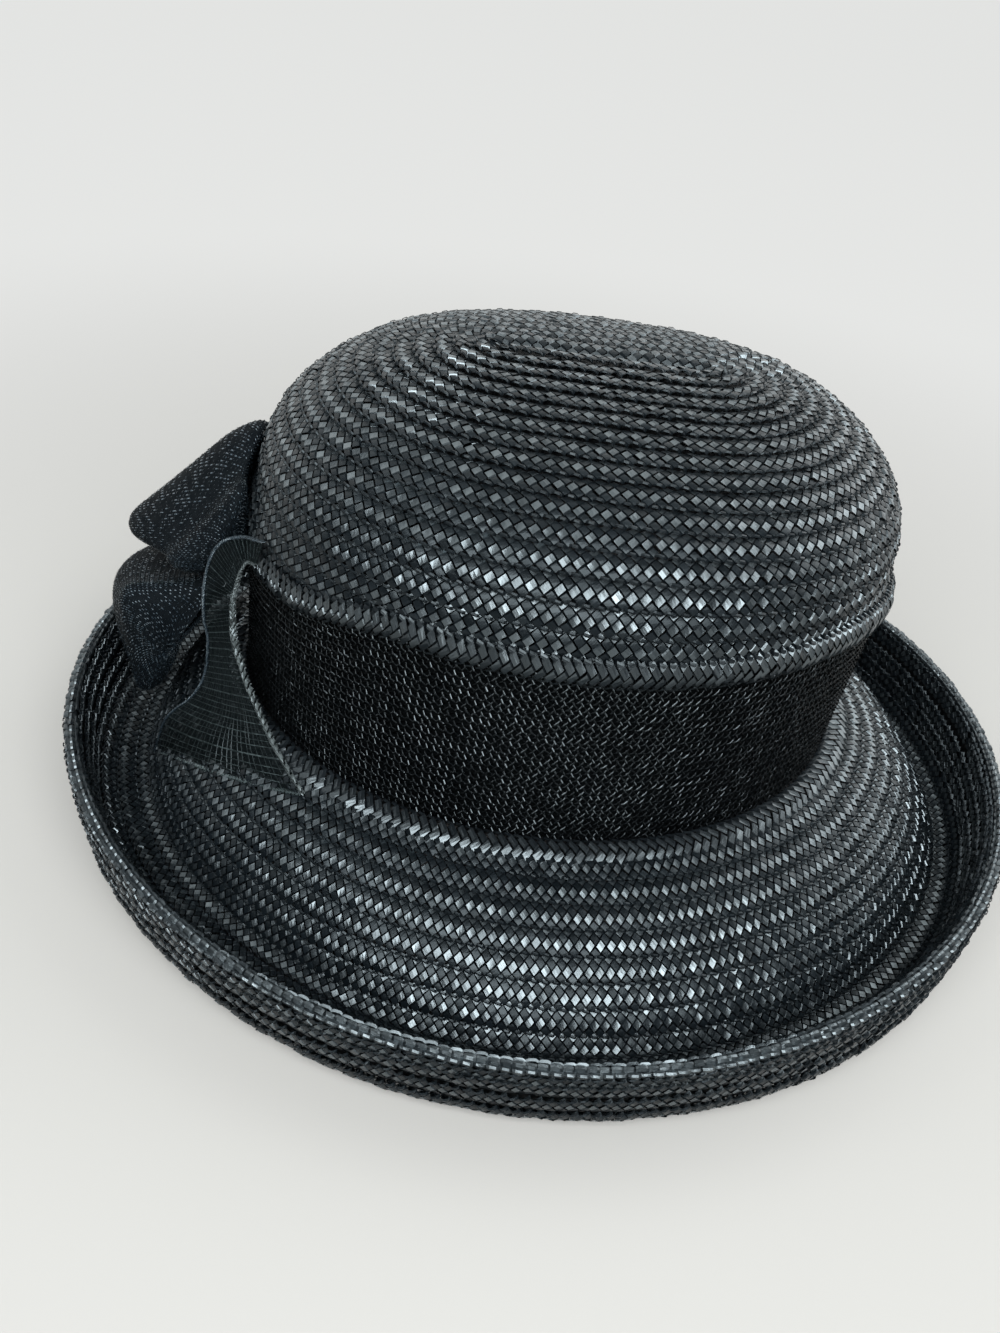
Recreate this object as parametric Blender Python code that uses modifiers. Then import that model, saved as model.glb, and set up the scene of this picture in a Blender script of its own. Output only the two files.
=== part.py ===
"""Dress hat of sewn straw braid with a woven mesh band and a side bow.

Metres, +Z up, +X to the wearer's left end of the long oval. The hat rests on the lowest ring of
its brim, and the origin lies on that surface under the middle of the rim.
"""

import math

import bmesh
import bpy
from mathutils import Vector

# Straw and mesh walls
BRIM_WALL = 0.0020
CROWN_WALL = 0.0020
BAND_WALL = 0.0010
TRIM_WALL = 0.0015
RIBBON_WALL = 0.0012
GAP = 0.0004

# Oval of the band's foot and of the crown's shoulder as half sizes, and how far the top of the
# wall stands out past the shoulder
SEAM_HALF_LENGTH = 0.1030
SEAM_HALF_WIDTH = 0.0881
SHOULDER_HALF_LENGTH = 0.0989
SHOULDER_HALF_WIDTH = 0.0879
WALL_TOP_PROUD_LONG = 0.0047
WALL_TOP_PROUD_WIDE = 0.0014
WALL_TOP_HALF_LENGTH = SHOULDER_HALF_LENGTH + WALL_TOP_PROUD_LONG
WALL_TOP_HALF_WIDTH = SHOULDER_HALF_WIDTH + WALL_TOP_PROUD_WIDE

# Heights above the seam between crown and brim
WALL_HEIGHT = 0.0594
BAND_HEIGHT = 0.0615
SHOULDER_HEIGHT = 0.0726
CROWN_HEIGHT = 0.1139
CROWN_LEAN_X = 0.053
CROWN_LEAN_Y = 0.016
CROWN_CENTRE = (-0.0029, 0.0042)

# Dome: the first straw row lies along a short line, and the section is a superellipse
START_LINE_HALF = 0.0305
START_LINE_SQUARENESS = 3.0
LEAST_SQUARENESS = 0.05
DOME_POWER = 2.07

# Brim section, from the crown's foot: slope, curl with a flat to rest on, upturned wall
SLOPE_LENGTH = 0.0565
SLOPE_START = math.radians(13.0)
SLOPE_END = math.radians(64.0)
CURL_RADIUS = 0.0085
REST_FLAT = 0.0030
UPTURN_LENGTH = 0.0210
UPTURN_LEAN = math.radians(4.5)
LONG_SHARE = 0.926
CENTRED_SHARE = 0.94
RIM_SADDLE = 0.0023
BRIM_TUCK = 0.0050

# Where the curl lies round the brim, as a share of the brim's reach (angle in degrees)
CURL_PLACE = (
    {"angle": 0.0, "share": 0.86},
    {"angle": 45.0, "share": 0.84},
    {"angle": 90.0, "share": 0.78},
    {"angle": 135.0, "share": 0.70},
    {"angle": 180.0, "share": 0.655},
    {"angle": 225.0, "share": 0.68},
    {"angle": 270.0, "share": 0.80},
    {"angle": 315.0, "share": 0.83},
)

# Height of the band's top line round the crown, as a share of BAND_HEIGHT
BAND_LINE = (
    {"angle": 0.0, "share": 0.87},
    {"angle": 45.0, "share": 0.90},
    {"angle": 90.0, "share": 0.96},
    {"angle": 150.0, "share": 0.86},
    {"angle": 195.0, "share": 0.77},
    {"angle": 215.0, "share": 0.84},
    {"angle": 245.0, "share": 0.99},
    {"angle": 315.0, "share": 0.99},
)

# Straw braid laid over the joints
TRIM_WIDTH = 0.0090
FOOT_TRIM_WIDTH = 0.0085
RIM_TRIM_WIDTH = 0.0070
UPPER_TRIM_START = 205.0
UPPER_TRIM_END = 523.0
TRIM_BEND_SHARES = (0.25, 0.75)

# Bow of ribbon: angles are degrees round the crown from its end under the bow
BOW_REACH = 0.040
BOW_RISE = 0.040
KNOT_HEIGHT = 0.0420
KNOT_HALF_ANGLE = 9.5
KNOT_DEPTH = 0.0080
KNOT_HALF_HEIGHT = 0.0050
TAIL_REACH = 0.0305
TAIL_DROP = 0.0420

# Each loop at three places across the ribbon: out in shares of BOW_REACH from the band, and
# up in shares of BOW_RISE from the knot
LOOP_ANGLES = {"front": 13.5, "middle": 0.0, "back": -16.5}
UPPER_LOOP = (
    {"front": (-0.01, 0.22), "middle": (-0.01, 0.22), "back": (-0.01, 0.22)},
    {"front": (0.01, 0.48), "middle": (0.00, 0.60), "back": (0.02, 0.42)},
    {"front": (0.04, 0.72), "middle": (-0.08, 0.93), "back": (0.06, 0.60)},
    {"front": (0.20, 0.56), "middle": (0.16, 0.84), "back": (0.24, 0.50)},
    {"front": (0.36, 0.36), "middle": (0.48, 0.52), "back": (0.46, 0.28)},
    {"front": (0.52, 0.18), "middle": (0.80, 0.19), "back": (0.66, 0.06)},
    {"front": (0.60, 0.08), "middle": (1.00, -0.03), "back": (0.76, -0.10)},
    {"front": (0.56, 0.02), "middle": (0.94, -0.14), "back": (0.68, -0.18)},
    {"front": (0.44, -0.02), "middle": (0.66, -0.13), "back": (0.48, -0.14)},
    {"front": (0.27, -0.01), "middle": (0.27, -0.02), "back": (0.27, -0.04)},
)
LOWER_LOOP = (
    {"front": (0.18, -0.10), "middle": (0.18, -0.12), "back": (0.18, -0.16)},
    {"front": (0.46, -0.20), "middle": (0.46, -0.29), "back": (0.42, -0.35)},
    {"front": (0.72, -0.21), "middle": (0.75, -0.36), "back": (0.64, -0.43)},
    {"front": (0.92, -0.22), "middle": (1.00, -0.43), "back": (0.82, -0.54)},
    {"front": (1.00, -0.36), "middle": (1.11, -0.62), "back": (0.91, -0.71)},
    {"front": (0.98, -0.66), "middle": (1.12, -0.92), "back": (0.91, -0.94)},
    {"front": (0.94, -0.95), "middle": (1.06, -1.24), "back": (0.88, -1.17)},
    {"front": (0.88, -1.22), "middle": (0.97, -1.49), "back": (0.81, -1.37)},
    {"front": (0.76, -1.22), "middle": (0.86, -1.43), "back": (0.71, -1.33)},
    {"front": (0.61, -0.97), "middle": (0.72, -1.12), "back": (0.60, -1.10)},
    {"front": (0.52, -0.70), "middle": (0.60, -0.80), "back": (0.50, -0.85)},
    {"front": (0.40, -0.48), "middle": (0.42, -0.52), "back": (0.38, -0.62)},
    {"front": (0.26, -0.38), "middle": (0.26, -0.42), "back": (0.26, -0.50)},
)

# Tail: angle, out in shares of TAIL_REACH and height above the seam in shares of TAIL_DROP,
# for its left and right edges; the last row lies on the brim, where the height is worked out
TAIL = (
    {"left": (11.0, 0.10, 1.10), "right": (11.0, 0.24, 0.96)},
    {"left": (14.0, 0.12, 1.30), "right": (14.0, 0.26, 1.14)},
    {"left": (18.5, 0.16, 1.36), "right": (19.5, 0.30, 1.22)},
    {"left": (22.0, 0.42, 1.26), "right": (23.0, 0.20, 1.12)},
    {"left": (24.0, 0.49, 1.08), "right": (25.5, 0.22, 0.98)},
    {"left": (24.5, 0.50, 0.82), "right": (26.5, 0.24, 0.88)},
    {"left": (24.5, 0.46, 0.60), "right": (28.0, 0.24, 0.66)},
    {"left": (25.0, 0.50, 0.31), "right": (32.0, 0.20, 0.42)},
    {"left": (25.0, 0.64, 0.10), "right": (37.0, 0.16, 0.20)},
    {"left": (22.5, 0.88, -0.18), "right": (43.5, 0.20, 0.07)},
    {"left": (15.5, 1.09, None), "right": (52.0, 0.37, None)},
)

# Fineness of the meshes
AROUND = 60
SLOPE_STEPS = 6
CURL_STEPS = 3
UPTURN_STEPS = 2
DOME_STEPS = 9
RIBBON_AROUND = 20
RIBBON_ACROSS = 5


def clear_scene():
    """Remove every object that the file opens with."""
    for thing in list(bpy.data.objects):
        bpy.data.objects.remove(thing, do_unlink=True)


def finish_of(name, colour, roughness):
    """Principled material with the piece's colour and roughness."""
    material = bpy.data.materials.new(name)
    material.use_nodes = True
    shader = material.node_tree.nodes["Principled BSDF"]
    shader.inputs["Base Color"].default_value = (*colour, 1.0)
    shader.inputs["Roughness"].default_value = roughness
    shader.inputs["Metallic"].default_value = 0.0
    return material


def add_piece(name, mesh_maker, material, collection):
    """Link a new object whose mesh is filled by mesh_maker(bm)."""
    bm = bmesh.new()
    mesh_maker(bm)
    mesh = bpy.data.meshes.new(name)
    bm.to_mesh(mesh)
    bm.free()
    mesh.shade_smooth()
    mesh.set_sharp_from_angle(angle=math.radians(40.0))
    piece = bpy.data.objects.new(name, mesh)
    piece.data.materials.append(material)
    collection.objects.link(piece)
    return piece


def thicken(piece, wall, side):
    """Give an open sheet its wall: side -1 inwards, 0 about the middle."""
    modifier = piece.modifiers.new("wall", "SOLIDIFY")
    modifier.thickness = wall
    modifier.offset = side
    modifier.use_even_offset = True
    modifier.use_rim = True


def blend(low, high, share):
    return low + (high - low) * share


def eased(share):
    """Smooth step from 0 to 1."""
    share = min(1.0, max(0.0, share))
    return share * share * (3.0 - 2.0 * share)


def share_at(table, angle):
    """Share at an angle in radians, eased between the rows of a table that goes round."""
    turn = math.degrees(angle) % 360.0
    rows = list(table) + [{"angle": 360.0, "share": table[0]["share"]}]
    for low, high in zip(rows, rows[1:]):
        if turn <= high["angle"]:
            step = (turn - low["angle"]) / (high["angle"] - low["angle"])
            return blend(low["share"], high["share"], eased(step))
    return rows[-1]["share"]


def brim_line():
    """Middle line of the brim's straw, as a list of (out, height, direction) from the seam."""
    upright = math.pi / 2 - UPTURN_LEAN
    runs = (
        (BRIM_TUCK, 0.0, 0.0, 1),
        (SLOPE_LENGTH, -SLOPE_START, -SLOPE_END, SLOPE_STEPS),
        (CURL_RADIUS * SLOPE_END, -SLOPE_END, 0.0, CURL_STEPS),
        (REST_FLAT, 0.0, 0.0, 1),
        (CURL_RADIUS * upright, 0.0, upright, CURL_STEPS),
        (UPTURN_LENGTH, upright, upright, UPTURN_STEPS),
    )
    out = -BRIM_TUCK
    height = 0.0
    line = [(out, height, 0.0)]
    for length, start, end, steps in runs:
        step = length / steps
        for index in range(steps):
            heading = blend(start, end, (index + 0.5) / steps)
            out += step * math.cos(heading)
            height += step * math.sin(heading)
            line.append((out, height, blend(start, end, (index + 1) / steps)))
    return line


BRIM_LINE = brim_line()
BRIM_REACH = BRIM_LINE[-1][0]
BRIM_DROP = -min(height for _, height, _ in BRIM_LINE)
REST_OUT = sum(out for out, height, _ in BRIM_LINE if height < 1e-9 - BRIM_DROP) / 2
SEAM_HEIGHT = BRIM_DROP + BRIM_WALL / 2
RIM_RISE = BRIM_LINE[-1][1] + BRIM_DROP


def brim_section(angle):
    """The brim's middle line at one angle, with the curl moved to its place there."""
    rest = share_at(CURL_PLACE, angle) * BRIM_REACH
    saddle = 1.0 + RIM_SADDLE * math.cos(2.0 * angle) / RIM_RISE
    section = []
    for out, height, heading in BRIM_LINE:
        if out <= 0.0:
            section.append((out, height, heading))
        elif out <= REST_OUT:
            section.append((out * rest / REST_OUT, height, heading))
        else:
            share = (out - REST_OUT) / (BRIM_REACH - REST_OUT)
            raised = -BRIM_DROP + (height + BRIM_DROP) * saddle
            section.append((blend(rest, BRIM_REACH, share), raised, heading))
    return section


def brim_point(angle, out, height):
    """Point of the hat at a distance out from the band's foot and a height over the seam."""
    centring = min(1.0, max(0.0, out / (CENTRED_SHARE * BRIM_REACH)))
    long_out = out * (LONG_SHARE if out > 0.0 else 1.0)
    return Vector((
        CROWN_CENTRE[0] * (1.0 - centring) + (SEAM_HALF_LENGTH + long_out) * math.cos(angle),
        CROWN_CENTRE[1] * (1.0 - centring) + (SEAM_HALF_WIDTH + out) * math.sin(angle),
        SEAM_HEIGHT + height,
    ))


def on_brim(angle, row, lift):
    """Point above or below the brim's middle line, where row counts along its section."""
    section = brim_section(angle)
    index = min(int(row), len(section) - 2)
    share = row - index
    out, height, heading = (
        blend(low, high, share) for low, high in zip(section[index], section[index + 1])
    )
    return brim_point(angle, out - lift * math.sin(heading), height + lift * math.cos(heading))


def over_brim(angle, out, lift):
    """Point that lies lift above the brim's upper face, at a distance out from the band."""
    section = brim_section(angle)
    for low, high in zip(section, section[1:]):
        if low[0] <= out <= high[0]:
            share = (out - low[0]) / (high[0] - low[0])
            height = blend(low[1], high[1], share)
            slant = math.cos(blend(low[2], high[2], share))
            return brim_point(angle, out, height + (BRIM_WALL / 2 + lift) / slant)
    return brim_point(angle, out, section[-1][1])


def wall_halves(height):
    """Half sizes of the band's outer oval at a height over the seam, up to the shoulder."""
    if height <= WALL_HEIGHT:
        share = height / WALL_HEIGHT
        return (
            blend(SEAM_HALF_LENGTH, WALL_TOP_HALF_LENGTH, share),
            blend(SEAM_HALF_WIDTH, WALL_TOP_HALF_WIDTH, share),
        )
    share = (height - WALL_HEIGHT) / (SHOULDER_HEIGHT - WALL_HEIGHT)
    proud = BAND_WALL + GAP
    return (
        blend(WALL_TOP_HALF_LENGTH, SHOULDER_HALF_LENGTH + proud, share),
        blend(WALL_TOP_HALF_WIDTH, SHOULDER_HALF_WIDTH + proud, share),
    )


def leaned(x, y, height):
    """Place a point of the crown, which leans as it rises."""
    return Vector((
        CROWN_CENTRE[0] + x + CROWN_LEAN_X * height,
        CROWN_CENTRE[1] + y + CROWN_LEAN_Y * height,
        SEAM_HEIGHT + height,
    ))


def beside_wall(angle, out, height, straight=False):
    """Point at a distance out from the band's outer face; straight ignores the shoulder."""
    half_length, half_width = wall_halves(min(height, WALL_HEIGHT) if straight else height)
    return leaned(
        (half_length + out) * math.cos(angle), (half_width + out) * math.sin(angle), height
    )


def band_top(angle):
    """Height over the seam of the band's visible top line, which dips towards the bow."""
    return BAND_HEIGHT * share_at(BAND_LINE, angle)


def loft(bm, sections, closed_round):
    """Join closed sections of equal count into a ring, or a run with its two ends filled."""
    rows = [[bm.verts.new(point) for point in section] for section in sections]
    count = len(rows[0])
    pairs = list(zip(rows, rows[1:]))
    if closed_round:
        pairs.append((rows[-1], rows[0]))
    for low, high in pairs:
        for index in range(count):
            after = (index + 1) % count
            bm.faces.new((low[index], high[index], high[after], low[after]))
    if not closed_round:
        bm.faces.new(rows[0])
        bm.faces.new(list(reversed(rows[-1])))
    bm.normal_update()
    bmesh.ops.recalc_face_normals(bm, faces=bm.faces)


def ring_angles(start=0.0, end=360.0, count=AROUND):
    """Angles in radians from start to end; a whole turn leaves out its last."""
    whole = abs(end - start - 360.0) < 1e-6
    steps = count if whole else count - 1
    return [math.radians(blend(start, end, index / steps)) for index in range(count)]


def brim_mesh(bm):
    rows = range(len(BRIM_LINE))
    sections = []
    for angle in ring_angles():
        upper = [on_brim(angle, row, BRIM_WALL / 2) for row in rows]
        lower = [on_brim(angle, row, -BRIM_WALL / 2) for row in reversed(rows)]
        sections.append(upper + lower)
    loft(bm, sections, closed_round=True)


def brim_braid_mesh(bm, first_row, last_row, steps, side):
    """Strip of braid on the brim's section: side 1 on its upper face, -1 below it."""
    near = side * (BRIM_WALL / 2 + GAP)
    far = side * (BRIM_WALL / 2 + GAP + TRIM_WALL)
    rows = [blend(first_row, last_row, index / steps) for index in range(steps + 1)]
    sections = []
    for angle in ring_angles():
        inner = [on_brim(angle, row, near) for row in rows]
        outer = [on_brim(angle, row, far) for row in reversed(rows)]
        sections.append(inner + outer)
    loft(bm, sections, closed_round=True)


def lower_trim_mesh(bm):
    """Braid at the band's foot, laid on the first of the brim's slope."""
    slope_row = SLOPE_LENGTH / SLOPE_STEPS
    first = 1.0 + 3.0 * GAP / slope_row
    brim_braid_mesh(bm, first, first + FOOT_TRIM_WIDTH / slope_row, 2, side=1)


def rim_braid_mesh(bm):
    """Last row of braid, sewn round the outer face of the rim."""
    last = len(BRIM_LINE) - 1
    upturn_row = UPTURN_LENGTH / UPTURN_STEPS
    brim_braid_mesh(bm, last - RIM_TRIM_WIDTH / upturn_row, last - GAP / upturn_row, 1, side=-1)


def crown_mesh(bm):
    """Outer face of the crown, from its foot to the line where the straw starts."""
    foot = BRIM_WALL / 2 + GAP
    inset = BAND_WALL + GAP
    rings = []
    for height in (foot, WALL_HEIGHT):
        half_length, half_width = wall_halves(height)
        rings.append((height, half_length - inset, half_width - inset))
    start_ratio = SHOULDER_HALF_LENGTH - SHOULDER_HALF_WIDTH - START_LINE_HALF
    for index in range(DOME_STEPS + 1):
        turn = math.pi / 2 * (1.0 - index / DOME_STEPS)
        spread = max(0.0, math.sin(turn)) ** (2.0 / DOME_POWER)
        rise = max(0.0, math.cos(turn)) ** (2.0 / DOME_POWER)
        half_width = SHOULDER_HALF_WIDTH * spread
        half_length = START_LINE_HALF + half_width + start_ratio * spread
        height = blend(SHOULDER_HEIGHT, CROWN_HEIGHT, rise)
        rings.append((height, half_length, half_width))
    rows = []
    for height, half_length, half_width in rings:
        spread = half_width / SHOULDER_HALF_WIDTH
        square = START_LINE_SQUARENESS * max(0.0, 1.0 - spread) + LEAST_SQUARENESS
        row = []
        for angle in ring_angles():
            across = math.cos(angle)
            line = START_LINE_HALF * math.tanh(square * across) / math.tanh(square)
            x = line + (half_length - START_LINE_HALF) * across
            row.append(bm.verts.new(leaned(x, half_width * math.sin(angle), height)))
        rows.append(row)
    for low, high in zip(rows, rows[1:]):
        for index in range(AROUND):
            after = (index + 1) % AROUND
            bm.faces.new((low[index], low[after], high[after], high[index]))
    bmesh.ops.remove_doubles(bm, verts=rows[-1], dist=1e-5)
    bmesh.ops.dissolve_degenerate(bm, dist=1e-6, edges=bm.edges)


def band_mesh(bm):
    """Woven band round the crown, with its top edge under the upper braid."""
    foot = BRIM_WALL / 2 + GAP
    sections = []
    for angle in ring_angles():
        top = band_top(angle) + TRIM_WIDTH - GAP
        bend = WALL_HEIGHT if top > WALL_HEIGHT + BAND_WALL else top / 2
        heights = (foot, bend, top)
        outer = [beside_wall(angle, 0.0, height) for height in heights]
        inner = [beside_wall(angle, -BAND_WALL, height) for height in reversed(heights)]
        sections.append(outer + inner)
    loft(bm, sections, closed_round=True)


def upper_trim_mesh(bm):
    """Braid over the band's top edge, open behind the bow where its ends are cut."""
    sections = []
    for angle in ring_angles(UPPER_TRIM_START, UPPER_TRIM_END):
        low = band_top(angle)
        least, most = TRIM_BEND_SHARES
        bend = min(most, max(least, (WALL_HEIGHT - low) / TRIM_WIDTH))
        heights = (low, low + bend * TRIM_WIDTH, low + TRIM_WIDTH)
        outer = [beside_wall(angle, GAP + TRIM_WALL, height) for height in heights]
        inner = [beside_wall(angle, GAP, height) for height in reversed(heights)]
        sections.append(outer + inner)
    loft(bm, sections, closed_round=False)


def smooth_point(points, place):
    """Point at place (counted in rows) on a smooth curve through a list of vectors."""
    last = len(points) - 1
    index = min(int(place), last - 1)
    t = place - index
    before, low = points[max(index - 1, 0)], points[index]
    high, after = points[index + 1], points[min(index + 2, last)]
    return 0.5 * (
        2.0 * low + (high - before) * t
        + (2.0 * before - 5.0 * low + 4.0 * high - after) * t * t
        + (3.0 * low - before - 3.0 * high + after) * t * t * t
    )


def at_bow(degrees, out, height):
    """Point by the bow: degrees round the crown from its end, out from the band."""
    return beside_wall(math.pi + math.radians(degrees), out, height, straight=True)


def sheet(bm, columns):
    """Sheet of quads through columns of points, each column running along the ribbon."""
    grid = [[bm.verts.new(point) for point in column] for column in columns]
    for left, right in zip(grid, grid[1:]):
        for index in range(len(left) - 1):
            bm.faces.new((left[index], left[index + 1], right[index + 1], right[index]))


def loop_mesh(bm, table):
    """One loop of the bow, from three sections placed across the ribbon."""
    stations = ("front", "middle", "back")
    runs = []
    for station in stations:
        degrees = LOOP_ANGLES[station]
        points = [
            at_bow(
                degrees,
                row[station][0] * BOW_REACH + GAP + RIBBON_WALL,
                KNOT_HEIGHT + row[station][1] * BOW_RISE,
            )
            for row in table
        ]
        last = len(points) - 1
        runs.append([
            smooth_point(points, last * index / RIBBON_AROUND)
            for index in range(RIBBON_AROUND + 1)
        ])
    columns = []
    for index in range(RIBBON_ACROSS + 1):
        place = 2.0 * index / RIBBON_ACROSS
        columns.append([smooth_point(list(across), place) for across in zip(*runs)])
    sheet(bm, columns)


def tail_seat(angle, out):
    """Point of the tail's middle where it lies on the brim, or on the braid at its foot."""
    over_trim = 1.0 - eased((out - FOOT_TRIM_WIDTH) / FOOT_TRIM_WIDTH)
    return over_brim(angle, out, RIBBON_WALL + GAP + over_trim * (TRIM_WALL + GAP))


def tail_column(share):
    """Points down the tail at a share of its width from the left edge."""
    points = []
    for row in TAIL:
        degrees, out_share = (
            blend(row["left"][index], row["right"][index], share) for index in (0, 1)
        )
        if row["left"][2] is None:
            points.append(tail_seat(math.pi + math.radians(degrees), out_share * TAIL_REACH))
            continue
        height = TAIL_DROP * blend(row["left"][2], row["right"][2], share)
        points.append(at_bow(degrees, GAP + RIBBON_WALL + out_share * TAIL_REACH, height))
    return points


def tail_mesh(bm):
    """The ribbon's free end: gathered at the knot, then opening out to lie on the brim."""
    last = len(TAIL) - 1
    columns = []
    for index in range(RIBBON_ACROSS + 1):
        points = tail_column(index / RIBBON_ACROSS)
        columns.append([smooth_point(points, step / 2) for step in range(2 * last + 1)])
    sheet(bm, columns)


def knot_mesh(bm):
    """Gathered ribbon that holds the bow against the band, a soft block on the wall's curve."""
    bmesh.ops.create_cube(bm, size=2.0)
    bmesh.ops.subdivide_edges(bm, edges=bm.edges, cuts=2, use_grid_fill=True)
    for vert in bm.verts:
        along, depth, rise = vert.co
        vert.co = at_bow(
            along * KNOT_HALF_ANGLE,
            GAP + KNOT_DEPTH * (depth + 1.0) / 2,
            KNOT_HEIGHT + rise * KNOT_HALF_HEIGHT,
        )
    bm.normal_update()
    bmesh.ops.recalc_face_normals(bm, faces=bm.faces)


def soften(piece):
    modifier = piece.modifiers.new("soft", "SUBSURF")
    modifier.levels = 1
    modifier.render_levels = 1


def build():
    clear_scene()
    hat = bpy.data.collections.new("dress_hat")
    bpy.context.scene.collection.children.link(hat)
    straw = finish_of("straw", (0.018, 0.021, 0.026), 0.42)
    braid = finish_of("braid", (0.024, 0.027, 0.032), 0.38)
    mesh_band = finish_of("woven_band", (0.010, 0.013, 0.017), 0.50)
    ribbon = finish_of("ribbon", (0.016, 0.022, 0.028), 0.45)

    crown = add_piece("crown", crown_mesh, straw, hat)
    thicken(crown, CROWN_WALL, -1.0)
    add_piece("brim", brim_mesh, straw, hat)
    add_piece("rim_braid", rim_braid_mesh, braid, hat)
    add_piece("lower_trim_braid", lower_trim_mesh, braid, hat)
    add_piece("upper_trim_braid", upper_trim_mesh, braid, hat)
    add_piece("band", band_mesh, mesh_band, hat)

    knot = add_piece("bow_knot", knot_mesh, ribbon, hat)
    soften(knot)
    upper = add_piece("bow_upper_loop", lambda bm: loop_mesh(bm, UPPER_LOOP), ribbon, hat)
    thicken(upper, RIBBON_WALL, 0.0)
    lower = add_piece("bow_lower_loop", lambda bm: loop_mesh(bm, LOWER_LOOP), ribbon, hat)
    thicken(lower, RIBBON_WALL, 0.0)
    tail = add_piece("bow_tail", tail_mesh, ribbon, hat)
    thicken(tail, RIBBON_WALL, 0.0)


build()
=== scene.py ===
"""Looks of a dress hat: sewn straw braid, a woven mesh band and a mesh bow.

Every piece follows the same named sizes as the solids. A small mesh, such as one crossing of
the plait, is laid cell by cell along a guide by one Geometry Nodes tree and bent to it.
"""

import logging
import math
from dataclasses import dataclass, field
from enum import Enum

import bmesh
import bpy
import numpy as np
from mathutils import Matrix, Vector

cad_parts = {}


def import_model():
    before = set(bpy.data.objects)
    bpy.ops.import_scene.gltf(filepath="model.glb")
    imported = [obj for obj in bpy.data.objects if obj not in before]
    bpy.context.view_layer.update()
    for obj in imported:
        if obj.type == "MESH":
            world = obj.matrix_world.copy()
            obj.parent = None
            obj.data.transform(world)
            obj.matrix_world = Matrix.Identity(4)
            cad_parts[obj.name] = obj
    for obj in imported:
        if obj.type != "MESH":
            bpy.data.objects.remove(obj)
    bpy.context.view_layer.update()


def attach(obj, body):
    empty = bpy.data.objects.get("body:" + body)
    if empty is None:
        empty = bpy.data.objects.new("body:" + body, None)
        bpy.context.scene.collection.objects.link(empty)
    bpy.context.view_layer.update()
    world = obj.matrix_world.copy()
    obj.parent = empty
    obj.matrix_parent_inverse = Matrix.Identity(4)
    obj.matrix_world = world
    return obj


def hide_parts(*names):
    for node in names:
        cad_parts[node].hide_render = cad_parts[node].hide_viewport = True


log = logging.getLogger("dress_hat")

Table = tuple[tuple[float, float], ...]
Number = float | np.ndarray
Colour = tuple[float, float, float]
Piece = bpy.types.Object
Finish = bpy.types.Material
Socket = bpy.types.NodeSocket
Given = Socket | bpy.types.ID | float | str | tuple

FIBRE_TINT = (0.78, 0.93, 1.0, 1.0)
TINY = 1e-12

# Steps along each run of the brim's section
TUCK_STEPS = 4
SLOPE_STEPS = 56
CURL_STEPS = 16
FLAT_STEPS = 4
UPTURN_STEPS = 20

# Steps in one turn of a strip, its fewest steps, and points round a wall
TURN_STEPS = 1440
LEAST_STEPS = 200
SHELL_AROUND = 181

# How far a straw's height varies by chance, and the seed of the net's stray lines
WANDER = 0.65
STRAY_SEED = 7


@dataclass(frozen=True)
class HatSizes:
    """Sizes of the solids that the looks follow, in metres.

    Slopes and leans are in radians, and places round the hat in degrees.
    """

    seam_half_length: float = 0.1030
    seam_half_width: float = 0.0881
    wall_top_half_length: float = 0.1036
    wall_top_half_width: float = 0.0893
    shoulder_half_length: float = 0.0989
    shoulder_half_width: float = 0.0879
    wall_height: float = 0.0594
    band_height: float = 0.0615
    shoulder_height: float = 0.0726
    crown_height: float = 0.1139
    crown_lean_x: float = 0.053
    crown_lean_y: float = 0.016
    crown_centre_x: float = -0.0029
    crown_centre_y: float = 0.0042
    start_line_half: float = 0.0305
    start_line_squareness: float = 3.0
    least_squareness: float = 0.05
    dome_power: float = 2.07
    slope_length: float = 0.0565
    slope_start: float = math.radians(13.0)
    slope_end: float = math.radians(64.0)
    curl_radius: float = 0.0085
    rest_flat: float = 0.0030
    upturn_length: float = 0.0210
    upturn_lean: float = math.radians(4.5)
    long_share: float = 0.926
    centred_share: float = 0.94
    rim_saddle: float = 0.0023
    brim_tuck: float = 0.0050
    brim_wall: float = 0.0020
    band_wall: float = 0.0010
    ribbon_wall: float = 0.0012
    gap: float = 0.0004
    trim_width: float = 0.0090
    upper_trim_start: float = 205.0
    upper_trim_end: float = 523.0
    bow_reach: float = 0.040
    bow_rise: float = 0.040
    knot_height: float = 0.0420
    knot_half_angle: float = 9.5
    knot_depth: float = 0.0080
    knot_half_height: float = 0.0050
    tail_reach: float = 0.0305
    tail_drop: float = 0.0420
    row_width: float = 0.0070
    plait_pitch: float = 0.00305


SIZES = HatSizes()

CURL_PLACE: Table = (
    (0.0, 0.86), (45.0, 0.84), (90.0, 0.78), (135.0, 0.70),
    (180.0, 0.655), (225.0, 0.68), (270.0, 0.80), (315.0, 0.83), (360.0, 0.86),
)
BAND_LINE: Table = (
    (0.0, 0.87), (45.0, 0.90), (90.0, 0.96), (150.0, 0.86), (195.0, 0.77),
    (215.0, 0.84), (245.0, 0.99), (315.0, 0.99), (360.0, 0.87),
)


def blend(low: Number, high: Number, share: Number) -> Number:
    """Value between low and high at a share from 0 to 1."""
    return low + (high - low) * share


def eased(share: Number) -> Number:
    """Smooth step from 0 to 1, also for arrays."""
    share = np.clip(share, 0.0, 1.0)
    return share * share * (3.0 - 2.0 * share)


def unit(vectors: np.ndarray) -> np.ndarray:
    """Vectors scaled to a length of one."""
    return vectors / np.maximum(np.linalg.norm(vectors, axis=-1, keepdims=True), TINY)


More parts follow.
